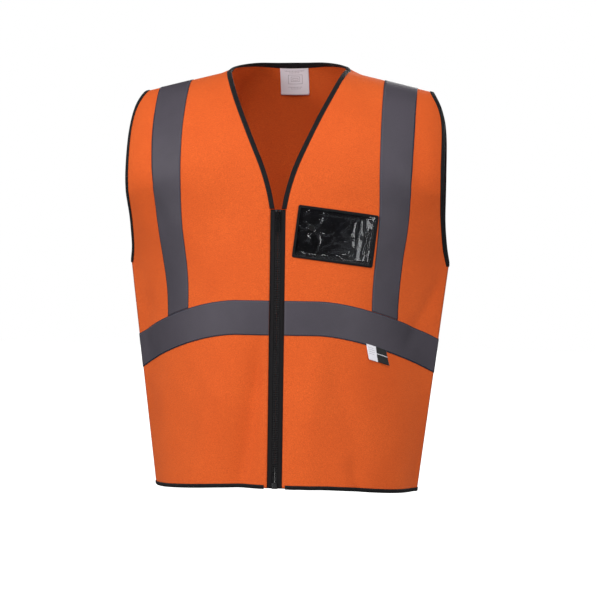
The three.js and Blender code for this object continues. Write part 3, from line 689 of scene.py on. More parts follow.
black_binding = ribbed("black_binding", paint(27, 26, 30), paint(11, 13, 17), 0.75 * MM, 0.00016)
zip_weave = herringbone("zip_weave")
orange_thread = twisted("orange_thread", paint(200, 78, 28), paint(236, 118, 60))
black_thread = twisted("black_thread", paint(18, 18, 20), paint(46, 45, 48))
grey_thread = twisted("grey_thread", paint(58, 66, 84), paint(96, 100, 114))


# %% Moulded plastic, paint and metal
def hard(name, dark, light, rough, grain, metallic=0.0, coat=0.0):
    """A hard finish whose gloss and tone vary with fine noise, as handling leaves it."""
    finish = Finish(name, Metallic=metallic, Coat_Weight=coat, Coat_Roughness=0.15)
    place = finish.node("ShaderNodeTexCoord", output="Object")
    stretched = finish.node("ShaderNodeMapping", {"Vector": place, "Scale": grain})
    marks = finish.noise(1.0, 3.0, stretched)
    finish.join(finish.shader.inputs["Roughness"], finish.math("MULTIPLY_ADD", marks, 0.25, rough))
    finish.raise_by(marks, 0.00003, 0.5)
    finish.colour(finish.mix(finish.band(marks, 0.35, 0.7), dark, light))
    return finish.material


DRAWN = (500, 500, 90)
tooth_plastic = hard("tooth_plastic", paint(14, 14, 16), paint(30, 30, 33), 0.25, (900, 900, 900))
slider_paint = hard("slider_paint", paint(10, 10, 12), paint(34, 34, 36), 0.2, (700, 700, 250),
                    metallic=0.3, coat=0.4)
bright_metal = hard("bright_metal", paint(196, 196, 200), paint(236, 236, 240), 0.12, DRAWN,
                    metallic=1.0)
pin_paint = hard("pin_paint", paint(16, 16, 18), paint(46, 46, 48), 0.3, DRAWN, metallic=0.4)
stud_plastic = hard("stud_plastic", paint(8, 8, 9), paint(24, 24, 26), 0.2, (600, 600, 600),
                    coat=0.3)

# %% [markdown]
# ### Pocket and labels
# The pocket's back is black sheet with a fine leather grain, and its window is clear soft
# plastic. The labels are white satin. Their print is left as plain bars and boxes, drawn by
# comparing the cloth's own coordinates with a few limits.

# %% Pocket sheets
backing = Finish("pocket_sheet", Roughness=0.6)
grain = backing.noise(700.0, 4.0)
backing.raise_by(grain, 0.00012, 0.5)
pocket_sheet = backing.colour(backing.mix(grain, paint(6, 6, 8), paint(18, 18, 20)))

window = Finish("clear_vinyl", Roughness=0.035, IOR=1.36, Transmission_Weight=1.0)
haze = window.noise(240.0, 3.0)
window.raise_by(haze, 0.00002, 0.3)
clear_vinyl = window.colour(window.mix(haze, paint(150, 152, 158), paint(190, 192, 198)))


# %% Printed labels
def printed(name, width, bars, boxes, dark_from=None):
    """White satin with plain grey bars and boxes: (left, right, top, foot) in mm each."""
    finish = Finish(name, Roughness=0.55, Sheen_Weight=0.2)
    across, down = finish.cloth_uv()
    satin = finish.wave(down, 0.4 * MM)
    finish.raise_by(satin, 0.00005, 0.5)

    def within(left, right, top, foot):
        inside_x = finish.math("COMPARE", across, (left + right) / 2 * MM, (right - left) / 2 * MM)
        inside_y = finish.math("COMPARE", down, (top + foot) / 2 * MM, (foot - top) / 2 * MM)
        return finish.math("MULTIPLY", inside_x, inside_y)

    dashes = finish.math("GREATER_THAN", finish.wave(across, 2.3 * MM), 0.25)
    ink = 0.0
    for left, right, top, foot in bars:
        row = finish.math("MULTIPLY", within(left, right, top, foot), dashes)
        ink = finish.math("MAXIMUM", ink, row)
    for left, right, top, foot in boxes:
        ring = within(left, right, top, foot)
        hole = within(left + 0.7, right - 0.7, top + 0.7, foot - 0.7)
        ink = finish.math("MAXIMUM", ink, finish.math("SUBTRACT", ring, hole))
    # Painted sheen: the white is a little lighter on the crowns of the satin weave.
    white = finish.mix(satin, paint(234, 232, 240), paint(246, 244, 250))
    shade = finish.mix(finish.math("MULTIPLY", ink, 0.6), white, paint(120, 116, 124))
    if dark_from is not None:
        dark = finish.math("GREATER_THAN", across, dark_from * MM)
        stripe = finish.math("ABSOLUTE", finish.math("SUBTRACT", down, width * 0.4 * MM))
        dark = finish.math("MULTIPLY", dark, finish.math("GREATER_THAN", stripe, 0.5 * MM))
        shade = finish.mix(dark, shade, paint(22, 22, 24))
    return finish.colour(shade)


LABEL_BARS = [(7, 37, 5.2, 6.4), (14, 30, 8.2, 9.2), (12, 33, 31.4, 32.4), (15, 31, 34, 34.8)]
LABEL_BOXES = [(12, 34, 12, 27), (16, 30, 15, 23), (18.5, 27.5, 17.5, 21)]
care_print = printed("care_label_print", 44, LABEL_BARS, LABEL_BOXES)
TAG_BARS = [(2, 12, 4, 5), (2, 14, 7, 8), (2, 13, 10, 11), (2, 12, 13, 14)]
tag_print = printed("side_tag_print", 27, TAG_BARS, [], 17)
print(len(bpy.data.materials), "finishes")

# %% [markdown]
# ## The panels
# Each front is one piece of cloth from shoulder to hem, cut away for the neck and the
# armhole, with its zip edge turned under. The back is one piece too. The rows run across at
# one height and the columns fan out from the shoulder, so that the edges are smooth lines
# of the grid. The turned edge is a low roll between the fold and its row of stitches.

# %% The two fronts
CLOTH, FOLD_EDGE, ZIP_EDGE, TURNED, ROLL_HIGH = 0.8, 1.8, 11, 2.6, 0.35
FRONT_ROWS, FRONT_COLUMNS = 214, 88
rows_r = np.linspace(0, 1, FRONT_ROWS)
neck_cut, arm_cut = x_at(aside(NECK_LINE, FOLD_EDGE)), x_at(aside(ARM_LINE, FOLD_EDGE))
front_foot = down_to(-1, lambda x: hem(x) + FOLD_EDGE)
back_foot = down_to(1, lambda x: hem(x) + FOLD_EDGE)


def front_inner(z):
    """The cloth's inner edge: the neck opening, then the zip."""
    return np.maximum(neck_cut(z), ZIP_EDGE)


def turned_edge(inward):
    """A low roll along a turned edge: one arch of a sine across its width."""
    return ROLL_HIGH * np.sin(math.pi * np.clip(inward / TURNED, 0, 1))


def panel_spots(side, foot, inner, rows, columns):
    """u and s for the grid of a panel between its inner line and the armhole or side seam."""
    rows_of = rows_to(foot)
    near = find_u(side, rows_of, rows, inner)
    far = find_u(side, rows_of, rows, arm_cut)
    u = near[:, None] + (far - near)[:, None] * columns
    return u, rows_of(u, rows[:, None])


front_columns = np.linspace(0, 1, FRONT_COLUMNS)
front_columns = 0.3 * front_columns**2 + 0.7 * front_columns
front_u, front_s = panel_spots(-1, front_foot, front_inner, rows_r, front_columns)
front_flat = skin(-1, front_u, front_s)
roll = turned_edge(front_flat[..., 0] - ZIP_EDGE)
by_zip = np.where(front_flat[..., 2] < NECK_FOOT, roll, 0)
for name, sign in SIDES:
    outer = lay(-1, sign, front_u, front_s, CLOTH + by_zip)
    inner = lay(-1, sign, front_u, front_s, 0)
    piece = shell(f"{name}_front_cloth", outer, inner)
    nodes = [f"{name}_front_upper", f"{name}_front_lower"]
    say(finish_piece(piece, f"{name}_front", nodes, orange_knit, bends=True))

# %% The back
# Its top edge is half an ellipse round the nape, then the shoulder seam. The columns are
# spaced by the ellipse's own angle, so that they follow it right into the corner.
NAPE_COLUMNS, WING_COLUMNS, BACK_ROWS = 40, 44, 214


def nape_spot(angle, extra):
    """u and s on the nape's ellipse, a little outside it by extra millimetres."""
    x, y = (NECK_HALF + extra) * np.sin(angle), (NECK_BACK + extra) * np.cos(angle)
    return plan_spot(1, x, y)


nape_u, nape_s = nape_spot(np.linspace(0, math.pi / 2, NAPE_COLUMNS), FOLD_EDGE)
tip_u = find_u(1, on_row, np.zeros(1), arm_cut)[0]
wing_u = np.linspace(nape_u[-1], tip_u, WING_COLUMNS)[1:]
top_u = np.concatenate([nape_u, wing_u])
top_s = np.maximum(np.concatenate([nape_s, np.zeros_like(wing_u)]), 0)
share = (top_u - top_u[0]) / (tip_u - top_u[0])
back_r = np.linspace(0, 1, BACK_ROWS)
arm_u = find_u(1, rows_to(back_foot), back_r, arm_cut)
foot_u = top_u[0] + share * (arm_u[-1] - top_u[0])
back_s = top_s + (back_foot(foot_u) - top_s) * back_r[:, None]
middle_u = find_u(1, on_row, back_s[:, 0], upright(0))
back_u = middle_u[:, None] + share * (arm_u - middle_u)[:, None]
halves = []
for off in (CLOTH, 0):
    left, right = (lay(1, sign, back_u, back_s, off) for sign in (1, -1))
    halves.append(np.concatenate([right[:, :0:-1], left], axis=1))
back_cloth = shell("back_cloth", *halves)
say(finish_piece(back_cloth, "back", ["back_panel"], orange_knit))

# %% [markdown]
# ## Bindings
# Black tape is folded over the raw edges of the neck, the armholes and the hem. It could be
# a solid bead, but the real one is one strip bent into a U, and its two leaves show at every
# end. So the profile is the whole U, with a slot that holds the edge of the cloth.

# %% The folded profile
LEAF, GRIP, TURN = 0.6, 0.3, 2.4


def folded_profile(width, slot=1.5):
    """The U of a folded tape as (distance in from the edge, distance off the skin)."""
    out, back = CLOTH + GRIP, -GRIP
    high, low = out + LEAF, back - LEAF
    return np.array([
        (width, out + 0.15), (width - 0.3, high - 0.1), (width - 1.1, high + 0.05),
        (width / 2, high + 0.15), (1.2, high + 0.1), (0.45, high - 0.25),
        (0, (high + low) / 2 + 0.5),
        (0, (high + low) / 2 - 0.5), (0.45, low + 0.25), (1.2, low), (width / 2, low - 0.1),
        (width - 0.6, low), (width, low + 0.25), (width, back), (slot + 0.4, back), (slot, 0.2),
        (slot, 0.6), (slot + 0.4, out), (width, out),
    ])


cut_sheets = []


def cut_from(piece, wide, grid, held):
    """Notes the flat strip that a piece was cut from, as long as the mean run of its grid."""
    long = float(lengths(grid, 0)[-1].mean())
    cut_sheets.append((piece, (wide * MM, long * MM), held))
    return piece


def folded_tape(name, profile, edge, width, loop=False):
    """A folded tape: edge(inward, off) gives the line that each point of the profile follows.
    Unfolded it is twice its width, and its turn over the edge."""
    rings = np.stack([edge(inward, off) for inward, off in profile], axis=1)
    return cut_from(tube(name, rings, loop), 2 * width + TURN, rings, "folded")


def bind(name, side, sign, spots, width):
    """A folded tape along an edge. spots(distance) gives u and s of the line that far in."""
    def edge(inward, off):
        u, s = spots(inward)
        return lay(side, sign, np.minimum(u, 1), np.maximum(s, 0), off)
    return folded_tape(name, folded_profile(width), edge, width)


def along_rows(side, line, s_values):
    """Spots of the line, moved sideways, at the given values of s."""
    def spots(distance):
        place = x_at(aside(line, distance))
        return find_u(side, on_row, s_values, place), s_values
    return spots


# %% Neck and armholes
neck_s = np.linspace(0, -NECK_FOOT / SHOULDER_ROUND, 110)
arm_s = np.linspace(0, -ARM_FOOT / SHOULDER_ROUND, 120)
NECK_WIDTH, ARM_WIDTH, HEM_WIDTH = 7, 5.5, 6
nape_angles = np.linspace(-math.pi / 2, math.pi / 2, 91)


def nape_edge(inward, off):
    """The line on the nape that lies that far in from its edge, and that far off the skin."""
    u, s = nape_spot(np.abs(nape_angles), inward)
    return lay_across(1, nape_angles, u, np.maximum(s, 0), off)


nape = folded_tape("nape_binding", folded_profile(NECK_WIDTH), nape_edge, NECK_WIDTH)
finish_piece(nape, "back", ["neck_binding_back"], black_binding)
for name, sign in SIDES:
    body = f"{name}_front"
    spots = along_rows(-1, NECK_LINE, neck_s)
    neck = bind(f"neck_binding_strip_{name}", -1, sign, spots, NECK_WIDTH)
    finish_piece(neck, body, [f"neck_binding_{name}"], black_binding, bends=True)
    arm = bind(f"armhole_strip_{name}_front", -1, sign, along_rows(-1, ARM_LINE, arm_s), ARM_WIDTH)
    stands_for = [f"armhole_binding_{name}_front"]
    finish_piece(arm, body, stands_for, black_binding, bends=True)
    arm = bind(f"armhole_strip_{name}_back", 1, sign, along_rows(1, ARM_LINE, arm_s), ARM_WIDTH)
    finish_piece(arm, "back", [f"armhole_binding_{name}_back"], black_binding)
say(nape)

# %% Hem
# The strip starts beside the zip, HEM_START from the middle and HEM_S down the front.
HEM_START, HEM_S = 15.4, 4.08


def hem_spots(side, u):
    """Spots of the hem line, moved up, at the given values of u."""
    return lambda distance: (u, find_s(side, u, lambda x: hem(x) + distance))


def across_the_back(u, s, off):
    """Points right across the back: the right half walked inwards, then the left outwards."""
    right, left = (lay(1, sign, u, s, off) for sign in (-1, 1))
    return np.concatenate([right[::-1], left])


hem_u0 = find_u(-1, on_row, np.array([HEM_S]), upright(HEM_START))[0]
front_hem_u = np.linspace(hem_u0, 1, 110)
for name, sign in SIDES:
    strip = bind(f"hem_strip_{name}", -1, sign, hem_spots(-1, front_hem_u), HEM_WIDTH)
    finish_piece(strip, f"{name}_front", [f"hem_binding_{name}"], black_binding)
back_hem_u = np.linspace(0, 1, 110)


def hem_edge(inward, off):
    """The line across the back that lies that far up from the hem, and that far off the skin."""
    return across_the_back(*hem_spots(1, back_hem_u)(inward), off)


hem_back = folded_tape("hem_strip_back", folded_profile(HEM_WIDTH), hem_edge, HEM_WIDTH)
say(finish_piece(hem_back, "back", ["hem_binding_back"], black_binding))

# %% [markdown]
# ## Reflective tape
# One band runs round the waist and one over each shoulder. The tape can't stretch, so the
# shoulder band keeps its width along the cloth and not in the front view: its outer edge is
# found by measuring round each section.

# %% Shoulder bands
TAPE_IN, TAPE_OUT = 1.1, 1.5
BRACE_TOP, BRACE_FOOT, ABOVE_WAIST = 144, 134, 0.3


def brace_edge(z):
    """The band's inner edge: upright at the shoulder, then easing in towards the waist."""
    return BRACE_TOP + (BRACE_FOOT - BRACE_TOP) * rise(-z, 195, 350)


def round_by(side, u, s, distance):
    """The u that lies that far round the section from u, at the same s."""
    fine = u[:, None] + np.linspace(0, 0.4, 60) * np.ones_like(u)[:, None]
    on_skin = skin(side, fine, s[:, None])
    far = lengths(on_skin, 1)
    beyond = (far < distance).sum(1)
    row = np.arange(len(u))
    before = far[row, beyond - 1]
    part = (distance - before) / (far[row, beyond] - before)
    return fine[row, beyond - 1] + part * (fine[row, beyond] - fine[row, beyond - 1])


def brace_grid(side, rows=150, columns=18):
    """u and s of a shoulder band from the seam down to the waist band."""
    r = np.linspace(0, 1, rows)
    rows_of = rows_to(down_to(side, lambda x: waist_top(x) + ABOVE_WAIST))
    near = find_u(side, rows_of, r, brace_edge)
    far = round_by(side, near, rows_of(near, r), TAPE_WIDTH)
    u = near[:, None] + (far - near)[:, None] * np.linspace(0, 1, columns)
    return u, rows_of(u, r[:, None])


def taped(name, side, sign, u, s):
    """A band of tape: its outer and inner face, each its own distance off the skin."""
    outer, inner = (lay(side, sign, u, s, off) for off in (TAPE_OUT, TAPE_IN))
    return cut_from(shell(name, outer, inner), TAPE_WIDTH, outer, "laid")


bands = {}
for name, sign in SIDES:
    body = f"{name}_front"
    bands[-1] = brace_grid(-1)
    band = taped(f"shoulder_band_{name}_front", -1, sign, *bands[-1])
    nodes = [f"brace_tape_{name}_upper", f"brace_tape_{name}_lower"]
    finish_piece(band, body, nodes, reflective_tape, bends=True)
    bands[1] = brace_grid(1)
    band = taped(f"shoulder_band_{name}_back", 1, sign, *bands[1])
    nodes = [f"brace_tape_{name}_back"]
    finish_piece(band, "back", nodes, reflective_tape)
say(band)

# %% Waist band
# Its UV map runs across the tape first, as the shoulder bands' does, so rows and columns
# are swapped before the sheet is made.
WAIST_S = 2.4


def waist_grid(side, inner_u, columns=120, rows=18):
    """u and s of the waist band: even steps round the body and from its upper to its lower edge."""
    top = down_to(side, waist_top)
    foot = down_to(side, waist_foot)
    u = np.linspace(inner_u, 1, columns)[:, None] * np.ones(rows)
    return u, top(u) + (foot(u) - top(u)) * np.linspace(0, 1, rows)


waist_u0 = find_u(-1, on_row, np.array([WAIST_S]), upright(ZIP_EDGE))[0]
waist_front = waist_grid(-1, waist_u0)
for name, sign in SIDES:
    band = taped(f"waist_band_{name}", -1, sign, *waist_front)
    finish_piece(band, f"{name}_front", [f"waist_tape_{name}"], reflective_tape)
waist_back = waist_grid(1, 0.0)
faces_of_band = [across_the_back(*waist_back, off) for off in (TAPE_OUT, TAPE_IN)]
band = cut_from(shell("waist_band_back", *faces_of_band), TAPE_WIDTH, faces_of_band[0], "laid")
say(finish_piece(band, "back", ["waist_tape_back"], reflective_tape))

# %% [markdown]
# ## The zip
# A separating zip: two woven tapes with moulded teeth that lock in the middle. The tapes lie
# flat, so they are plain profiles drawn down the front. Each tooth is one small rounded
# block, worked out once and repeated by adding its place to every point at once.

# %% Zip tapes
ZIP_TOP, ZIP_FOOT, TEETH_TOP, TEETH_FOOT = -209.7, -611, -214.0, -587.7
ZIP_TAPE_WIDTH, ZIP_TAPE_BACK = 15, -0.9


def zip_point(x, off, z):
    """A point on the flat middle of the front, that far off the skin."""
    return np.stack(np.broadcast_arrays(x, -FRONT_DEPTH - off, z), -1).astype(float)


# Across the tape: (x, outer face). It is thin behind the teeth and has a cord beside them.
TAPE_PROFILE = [
    (0.05, -0.72), (3.5, -0.7), (3.9, -0.35), (4.3, 0.1), (4.9, 0.22), (5.5, 0.05),
    (6.1, -0.28), (8, -0.32), (ZIP_TAPE_WIDTH, -0.32),
]
tape_z = np.linspace(ZIP_TOP, ZIP_FOOT, 160)[:, None]
outer_x, outer_off = np.array(TAPE_PROFILE).T
for name, sign in SIDES:
    outer, inner = (zip_point(outer_x * sign, off, tape_z) for off in (outer_off, ZIP_TAPE_BACK))
    strip = shell(f"zip_tape_strip_{name}", outer, inner)
    cut_from(strip, ZIP_TAPE_WIDTH, outer, "hung")
    finish_piece(strip, f"{name}_front", [f"zip_tape_{name}"], zip_weave)
say(strip)

# %% Zip teeth
TOOTH_PITCH, TOOTH_SIDES, BELOW_STOP = 2.6, 8, 9
# Along a tooth, from its root to its rounded head: x, half its height, half its depth.
TOOTH = np.array([(3.7, 0.3, 0.6), (3.5, 0.62, 1.0), (2.0, 0.66, 1.08), (1.1, 0.5, 0.9),
                  (0.5, 0.66, 1.0), (-0.2, 0.6, 0.9), (-0.6, 0.25, 0.5)])


def teeth(sign, top, foot):
    """Every tooth of one side: an eight-sided rounded ring at each station of the tooth."""
    turn = (np.arange(TOOTH_SIDES) + 0.5) * 2 * math.pi / TOOTH_SIDES
    rounded = np.stack([np.cos(turn), np.sin(turn)], 1)
    rounded = np.sign(rounded) * np.abs(rounded) ** 0.7
    x, high, deep = (column[:, None] for column in TOOTH.T)
    one = np.stack(np.broadcast_arrays(sign * x, deep * rounded[:, 0], high * rounded[:, 1]), -1)
    heights = np.arange(top, foot, -TOOTH_PITCH)
    middle = zip_point(0, -0.6, heights)
    points = (middle[:, None, None, :] + one).reshape(-1, 3)
    stations = len(TOOTH)
    walls = cells(stations, TOOTH_SIDES, wrap_columns=True)
    ends = np.array([(0, 1, 2, 7), (2, 3, 6, 7), (3, 4, 5, 6)])
    tips = np.concatenate([ends, ends[:, ::-1] + (stations - 1) * TOOTH_SIDES])
    shape = np.concatenate([walls, tips[:, ::-1]])
    size = stations * TOOTH_SIDES
    faces = (shape + (np.arange(len(heights)) * size)[:, None, None]).reshape(-1, 4)
    return points, faces


for name, sign in SIDES:
    top = TEETH_TOP - (0 if sign > 0 else TOOTH_PITCH / 2 + BELOW_STOP)
    points, faces = teeth(sign, top, TEETH_FOOT)
    row = make(f"zip_teeth_row_{name}", points, faces)
    finish_piece(row, f"{name}_front", [f"zip_teeth_{name}"], tooth_plastic)
say(row)

# %% [markdown]
# ## The card pocket
# A black backing and a clear soft window, bound together. The window has been creased by
# its press stud: wrinkles run out from it like spokes, and more lie along the right and the
# lower edge. A solver gives such wrinkles slowly and in random places. Here each one is a
# short ridge: a bell curve across its line, on the pocket's own two coordinates.

# %% Pocket coordinates
POCKET_TILT, POCKET_HALF_A, POCKET_HALF_B = math.radians(-7), 57, 38
STUD = (-33.8, 6.9)


def pocket_lay(a, b, off):
    """Points at a across and b up the pocket, turned by its tilt, laid on the front."""
    x = POCKET_MIDDLE[0] + a * math.cos(POCKET_TILT) - b * math.sin(POCKET_TILT)
    z = POCKET_MIDDLE[1] + a * math.sin(POCKET_TILT) + b * math.cos(POCKET_TILT)
    return lay(-1, 1, *front_spot(-1, x, z), off)


# Each spoke: direction in degrees, how it curls, length, height, half its width at the stud.
SPOKES = [
    (38, 0.4, 34, 1.0, 1.3), (78, -0.9, 18, 0.7, 1.2), (118, 0.6, 20, 0.8, 1.1),
    (148, -0.5, 22, 1.0, 1.2), (176, 0.5, 20, 0.9, 1.0), (205, -0.7, 22, 1.0, 1.1),
    (236, 0.8, 26, 0.8, 1.4), (272, -0.6, 26, 0.7, 1.6), (312, 0.9, 34, 1.1, 1.7),
    (345, -1.3, 42, 1.0, 1.8), (12, 1.2, 30, 0.9, 1.6),
]
# Each crease: from (a, b) to (a, b), its bow, height and half its width.
CREASES = [
    ((34, 30), (31, -32), 1.6, 1.0, 1.3), ((41, 26), (39, -30), -1.4, 0.8, 1.6),
    ((47.5, 20), (46, -33), 0.9, 1.3, 0.9), ((25, 26), (27, -16), 3.0, 0.6, 1.8),
    ((-50, -29.5), (-16, -31), 0.8, 1.5, 1.3), ((-18, -31), (14, -29), -1.0, 1.4, 1.3),
    ((8, -30), (30, -33), 1.4, 1.5, 1.1), ((4, -27), (22, -20), 2.2, 1.0, 1.0),
    ((10, -29), (27, -24), 1.6, 1.0, 0.8), ((-48, 27), (-39, 30.5), 0.6, 1.7, 1.3),
    ((-30, 29), (28, 30), 0.5, 0.7, 0.9), ((20, 10), (30, -2), 3.5, 0.7, 1.5),
    ((-14, 26), (-24, 12), 1.5, 0.7, 1.1), ((-2, 2), (16, -6), 4.0, 0.9, 1.7),
]


def wrinkles(a, b):
    """The window's height over its plain face: spokes, creases, puff and a fine ripple."""
    da, db = a - STUD[0], b - STUD[1]
    far = np.hypot(da, db)
    total = np.zeros_like(a)
    for degrees, curl, length, height, width in SPOKES:
        bearing = math.radians(degrees) + curl * far / length
        off_line = np.sin(np.arctan2(db, da) - bearing) * far
        ahead = np.cos(np.arctan2(db, da) - bearing) > 0
        run = rise(far, 3.5, 8) * (1 - rise(far, 0.45 * length, length))
        across = off_line / (width * (0.6 + far / length))
        total += height * run * ahead * np.exp(-(across**2))
    for (a0, b0), (a1, b1), bow, height, width in CREASES:
        length = math.hypot(a1 - a0, b1 - b0)
        run_a, run_b = (a1 - a0) / length, (b1 - b0) / length
        along = ((a - a0) * run_a + (b - b0) * run_b) / length
        bowed = bow * np.sin(math.pi * np.clip(along, 0, 1))
        across = ((a - a0) * run_b - (b - b0) * run_a - bowed) / width
        ends = rise(along, -0.02, 0.2) * (1 - rise(along, 0.8, 1.02))
        total += height * ends * np.exp(-(across**2))
    puff = 0.6 * np.cos(a / 60 * math.pi / 2) * np.cos(b / 40 * math.pi / 2)
    ripple = 0.07 * np.sin(a / 2.6 + np.sin(b / 5)) * np.sin(b / 3.4 + np.sin(a / 7))
    return total + (puff + ripple) * rise(far, 3, 7)


# %% Backing, window and trim
POCKET_BODY = "left_front"
SHEET_HALF_A, SHEET_HALF_B, BACKING_FACES = 55, 36, (1.6, 1.3)
WINDOW_OFF, WINDOW_LIFT, VINYL = 1.9, 0.65, 0.35


def pocket_grid(columns, rows):
    """a and b on a grid over the pocket's two sheets."""
    across = np.linspace(-SHEET_HALF_A, SHEET_HALF_A, columns)
    return np.meshgrid(across, np.linspace(SHEET_HALF_B, -SHEET_HALF_B, rows))


a_fine, b_fine = pocket_grid(170, 112)
inset = np.minimum(SHEET_HALF_A - np.abs(a_fine), SHEET_HALF_B - np.abs(b_fine))
lifted = WINDOW_OFF + rise(inset, 1.2, 6.0) * (WINDOW_LIFT + wrinkles(a_fine, b_fine))
window_faces = (pocket_lay(a_fine, b_fine, off) for off in (lifted + VINYL, lifted))
window_sheet = shell("pocket_window_sheet", *window_faces)
finish_piece(window_sheet, POCKET_BODY, ["pocket_window"], clear_vinyl)
backing_grid = pocket_grid(50, 34)
backing_faces = (pocket_lay(*backing_grid, off) for off in BACKING_FACES)
back_sheet = shell("pocket_backing_sheet", *backing_faces)
finish_piece(back_sheet, POCKET_BODY, ["pocket_backing"], pocket_sheet)


def round_corners(inward, corner=3.0, per_side=56, per_corner=9):
    """A closed outline of the pocket, that far in from its edge, with rounded corners."""
    half_a, half_b = POCKET_HALF_A - inward, POCKET_HALF_B - inward
    corner = max(corner - inward, 0.8)
    turns = np.arange(4)[:, None] * math.pi / 2 + np.linspace(0, math.pi / 2, per_corner)
    sign_a, sign_b = np.array([1, -1, -1, 1])[:, None], np.array([1, 1, -1, -1])[:, None]
    a = sign_a * (half_a - corner) + corner * np.cos(turns)
    b = sign_b * (half_b - corner) + corner * np.sin(turns)
    bends = np.stack([a, b], -1)
    runs = np.linspace(bends[:, -1], np.roll(bends[:, 0], -1, axis=0), per_side, axis=1)[:, 1:-1]
    return np.concatenate([bends, runs], axis=1).reshape(-1, 2)


TRIM_PROFILE = [
    (3.5, 2.6), (3.3, 2.85), (2.4, 2.95), (1.0, 2.9), (0.25, 2.6), (0, 2.1), (0, 1.5), (0.3, 1.0),
    (1.0, 0.86), (3.5, 0.86), (3.5, 1.15), (1.6, 1.15), (1.2, 1.5), (1.2, 2.2), (1.6, 2.5),
    (3.4, 2.5),
]
TRIM_WIDTH = 3.9


def trim_edge(inward, off):
    """The closed line that lies that far in from the pocket's edge, and that far off the skin."""
    return pocket_lay(*round_corners(inward).T, off)


trim = folded_tape("pocket_trim_strip", TRIM_PROFILE, trim_edge, TRIM_WIDTH, loop=True)
finish_piece(trim, POCKET_BODY, ["pocket_trim"], black_binding)
say(window_sheet)

# %% [markdown]
# ## Labels
# The care label is caught in the neck binding and hangs free below it, and the side tag is a
# short tab under the waist band. Both are plain satin, slightly curled at the free edge.

# %% Care label and side tag
LABEL_HALF, LABEL_FOOT, UNDER_BINDING, SATIN = 22, -27, 6.2, 0.35
label_x = np.linspace(-LABEL_HALF, LABEL_HALF, 34)
across_share = label_x / (NECK_HALF + UNDER_BINDING)
label_top_y = (NECK_BACK + UNDER_BINDING) * np.sqrt(1 - across_share**2)
top_label_u, top_label_s = plan_spot(1, np.abs(label_x), label_top_y)
low_label_s = find_s(1, top_label_u, lambda x: x * 0 + LABEL_FOOT)
down = np.linspace(0, 1, 30)[:, None]
label_s = top_label_s + (low_label_s - top_label_s) * down
curl = -SATIN - 1.6 * down**3 * (0.6 + 0.4 * np.cos(label_x / 9))
label_grid = (label_x + 0 * down, top_label_u + 0 * down, label_s)
label_faces = (lay_across(1, *label_grid, off) for off in (curl - SATIN, curl))
label = shell("care_label_satin", *label_faces)
finish_piece(label, "back", ["care_label"], care_print)
TAG_FROM, TAG_TO, TAG_TUCK, TAG_LONG, TAG_LEAN = 127, 154, 2.5, 23, 3
tag_x = np.linspace(TAG_FROM, TAG_TO, 24)[None, :]
tag_down = np.linspace(0, 1, 20)[:, None]
tag_z = waist_foot(tag_x) + TAG_TUCK - TAG_LONG * tag_down
tag_out = 1.1 + 2.4 * tag_down**2 * (0.7 + 0.3 * np.sin(tag_x / 6))
tag_spots = front_spot(-1, tag_x + TAG_LEAN * tag_down, tag_z)
tag_faces = (lay(-1, 1, *tag_spots, tag_out + off) for off in (0.4, -0.2))
tag = shell("side_tag_satin", *tag_faces)
finish_piece(tag, "left_front", ["side_tag"], tag_print)
say(label)

# %% [markdown]
# ## Stitches
# Every seam shows its thread. A bump pattern could draw it, but real stitches are small
# raised bars with a hole at each end. One bar, a short tube that dips at both ends, is
# repeated along a line, turned to follow it and the cloth.

# %% A row of stitches
STITCH_LENGTH, STITCH_GAP, THREAD = 2.4, 0.7, 0.22
BAR_RINGS, BAR_POINTS = 5, 6


def at_length(far, values, place):
    """The values, known at the lengths far, read off at other lengths."""
    return np.stack([np.interp(place, far, values[:, axis]) for axis in range(3)], 1)


def sew(name, lines, body, thread, bends=False):
    """Stitches along lines of (points, normals). Each is five rings of six points, bent so
    that both ends dip into the cloth; the tube's own length and turn are its UV map."""
    along = np.linspace(-0.5, 0.5, BAR_RINGS)
    bar_high = 0.12 - 0.5 * (2 * along) ** 4
    bar_round = THREAD * np.array([0.55, 1, 1.05, 1, 0.55])
    turn = np.arange(BAR_POINTS) * 2 * math.pi / BAR_POINTS
    all_points, all_faces, all_uv = [], [], []
    count, bar_size = 0, BAR_RINGS * BAR_POINTS
    shape = cells(BAR_RINGS, BAR_POINTS, wrap_columns=True)
    ends = np.array([(0, 1, 2, 3), (0, 3, 4, 5)])
    shape = np.concatenate([shape, ends[:, ::-1], ends + bar_size - BAR_POINTS])
    for points, normals in lines:
        far = np.concatenate([[0], np.cumsum(np.linalg.norm(np.diff(points, axis=0), axis=1))])
        spots = np.arange(STITCH_GAP, far[-1] - STITCH_LENGTH, STITCH_LENGTH + STITCH_GAP)
        start, end = (at_length(far, points, spots + more) for more in (0, STITCH_LENGTH))
        up = at_length(far, normals, spots + STITCH_LENGTH / 2)
        run = end - start
        wide = np.cross(run, up)
        wide /= np.linalg.norm(wide, axis=1, keepdims=True)
        centre = (start + end)[:, None] / 2 + run[:, None] * along[:, None]
        centre = centre + up[:, None] * bar_high[:, None]
        ring = np.cos(turn)[:, None] * wide[:, None, None]
        ring = ring + np.sin(turn)[:, None] * up[:, None, None]
        bars = centre[:, :, None] + ring * bar_round[:, None, None]
        all_points.append(bars.reshape(-1, 3))
        steps = np.arange(len(spots))[:, None, None] * bar_size + count
        all_faces.append((shape + steps).reshape(-1, 4))
        flat_uv = np.broadcast_arrays(turn * THREAD, (along * STITCH_LENGTH)[:, None])
        all_uv.append(np.tile(np.stack(flat_uv, -1).reshape(-1, 2), (len(spots), 1)))
        count += len(spots) * bar_size
    piece = make(name, *(np.concatenate(whole) for whole in (all_points, all_faces, all_uv)))
    return finish_piece(piece, body, (), thread, bends=bends)


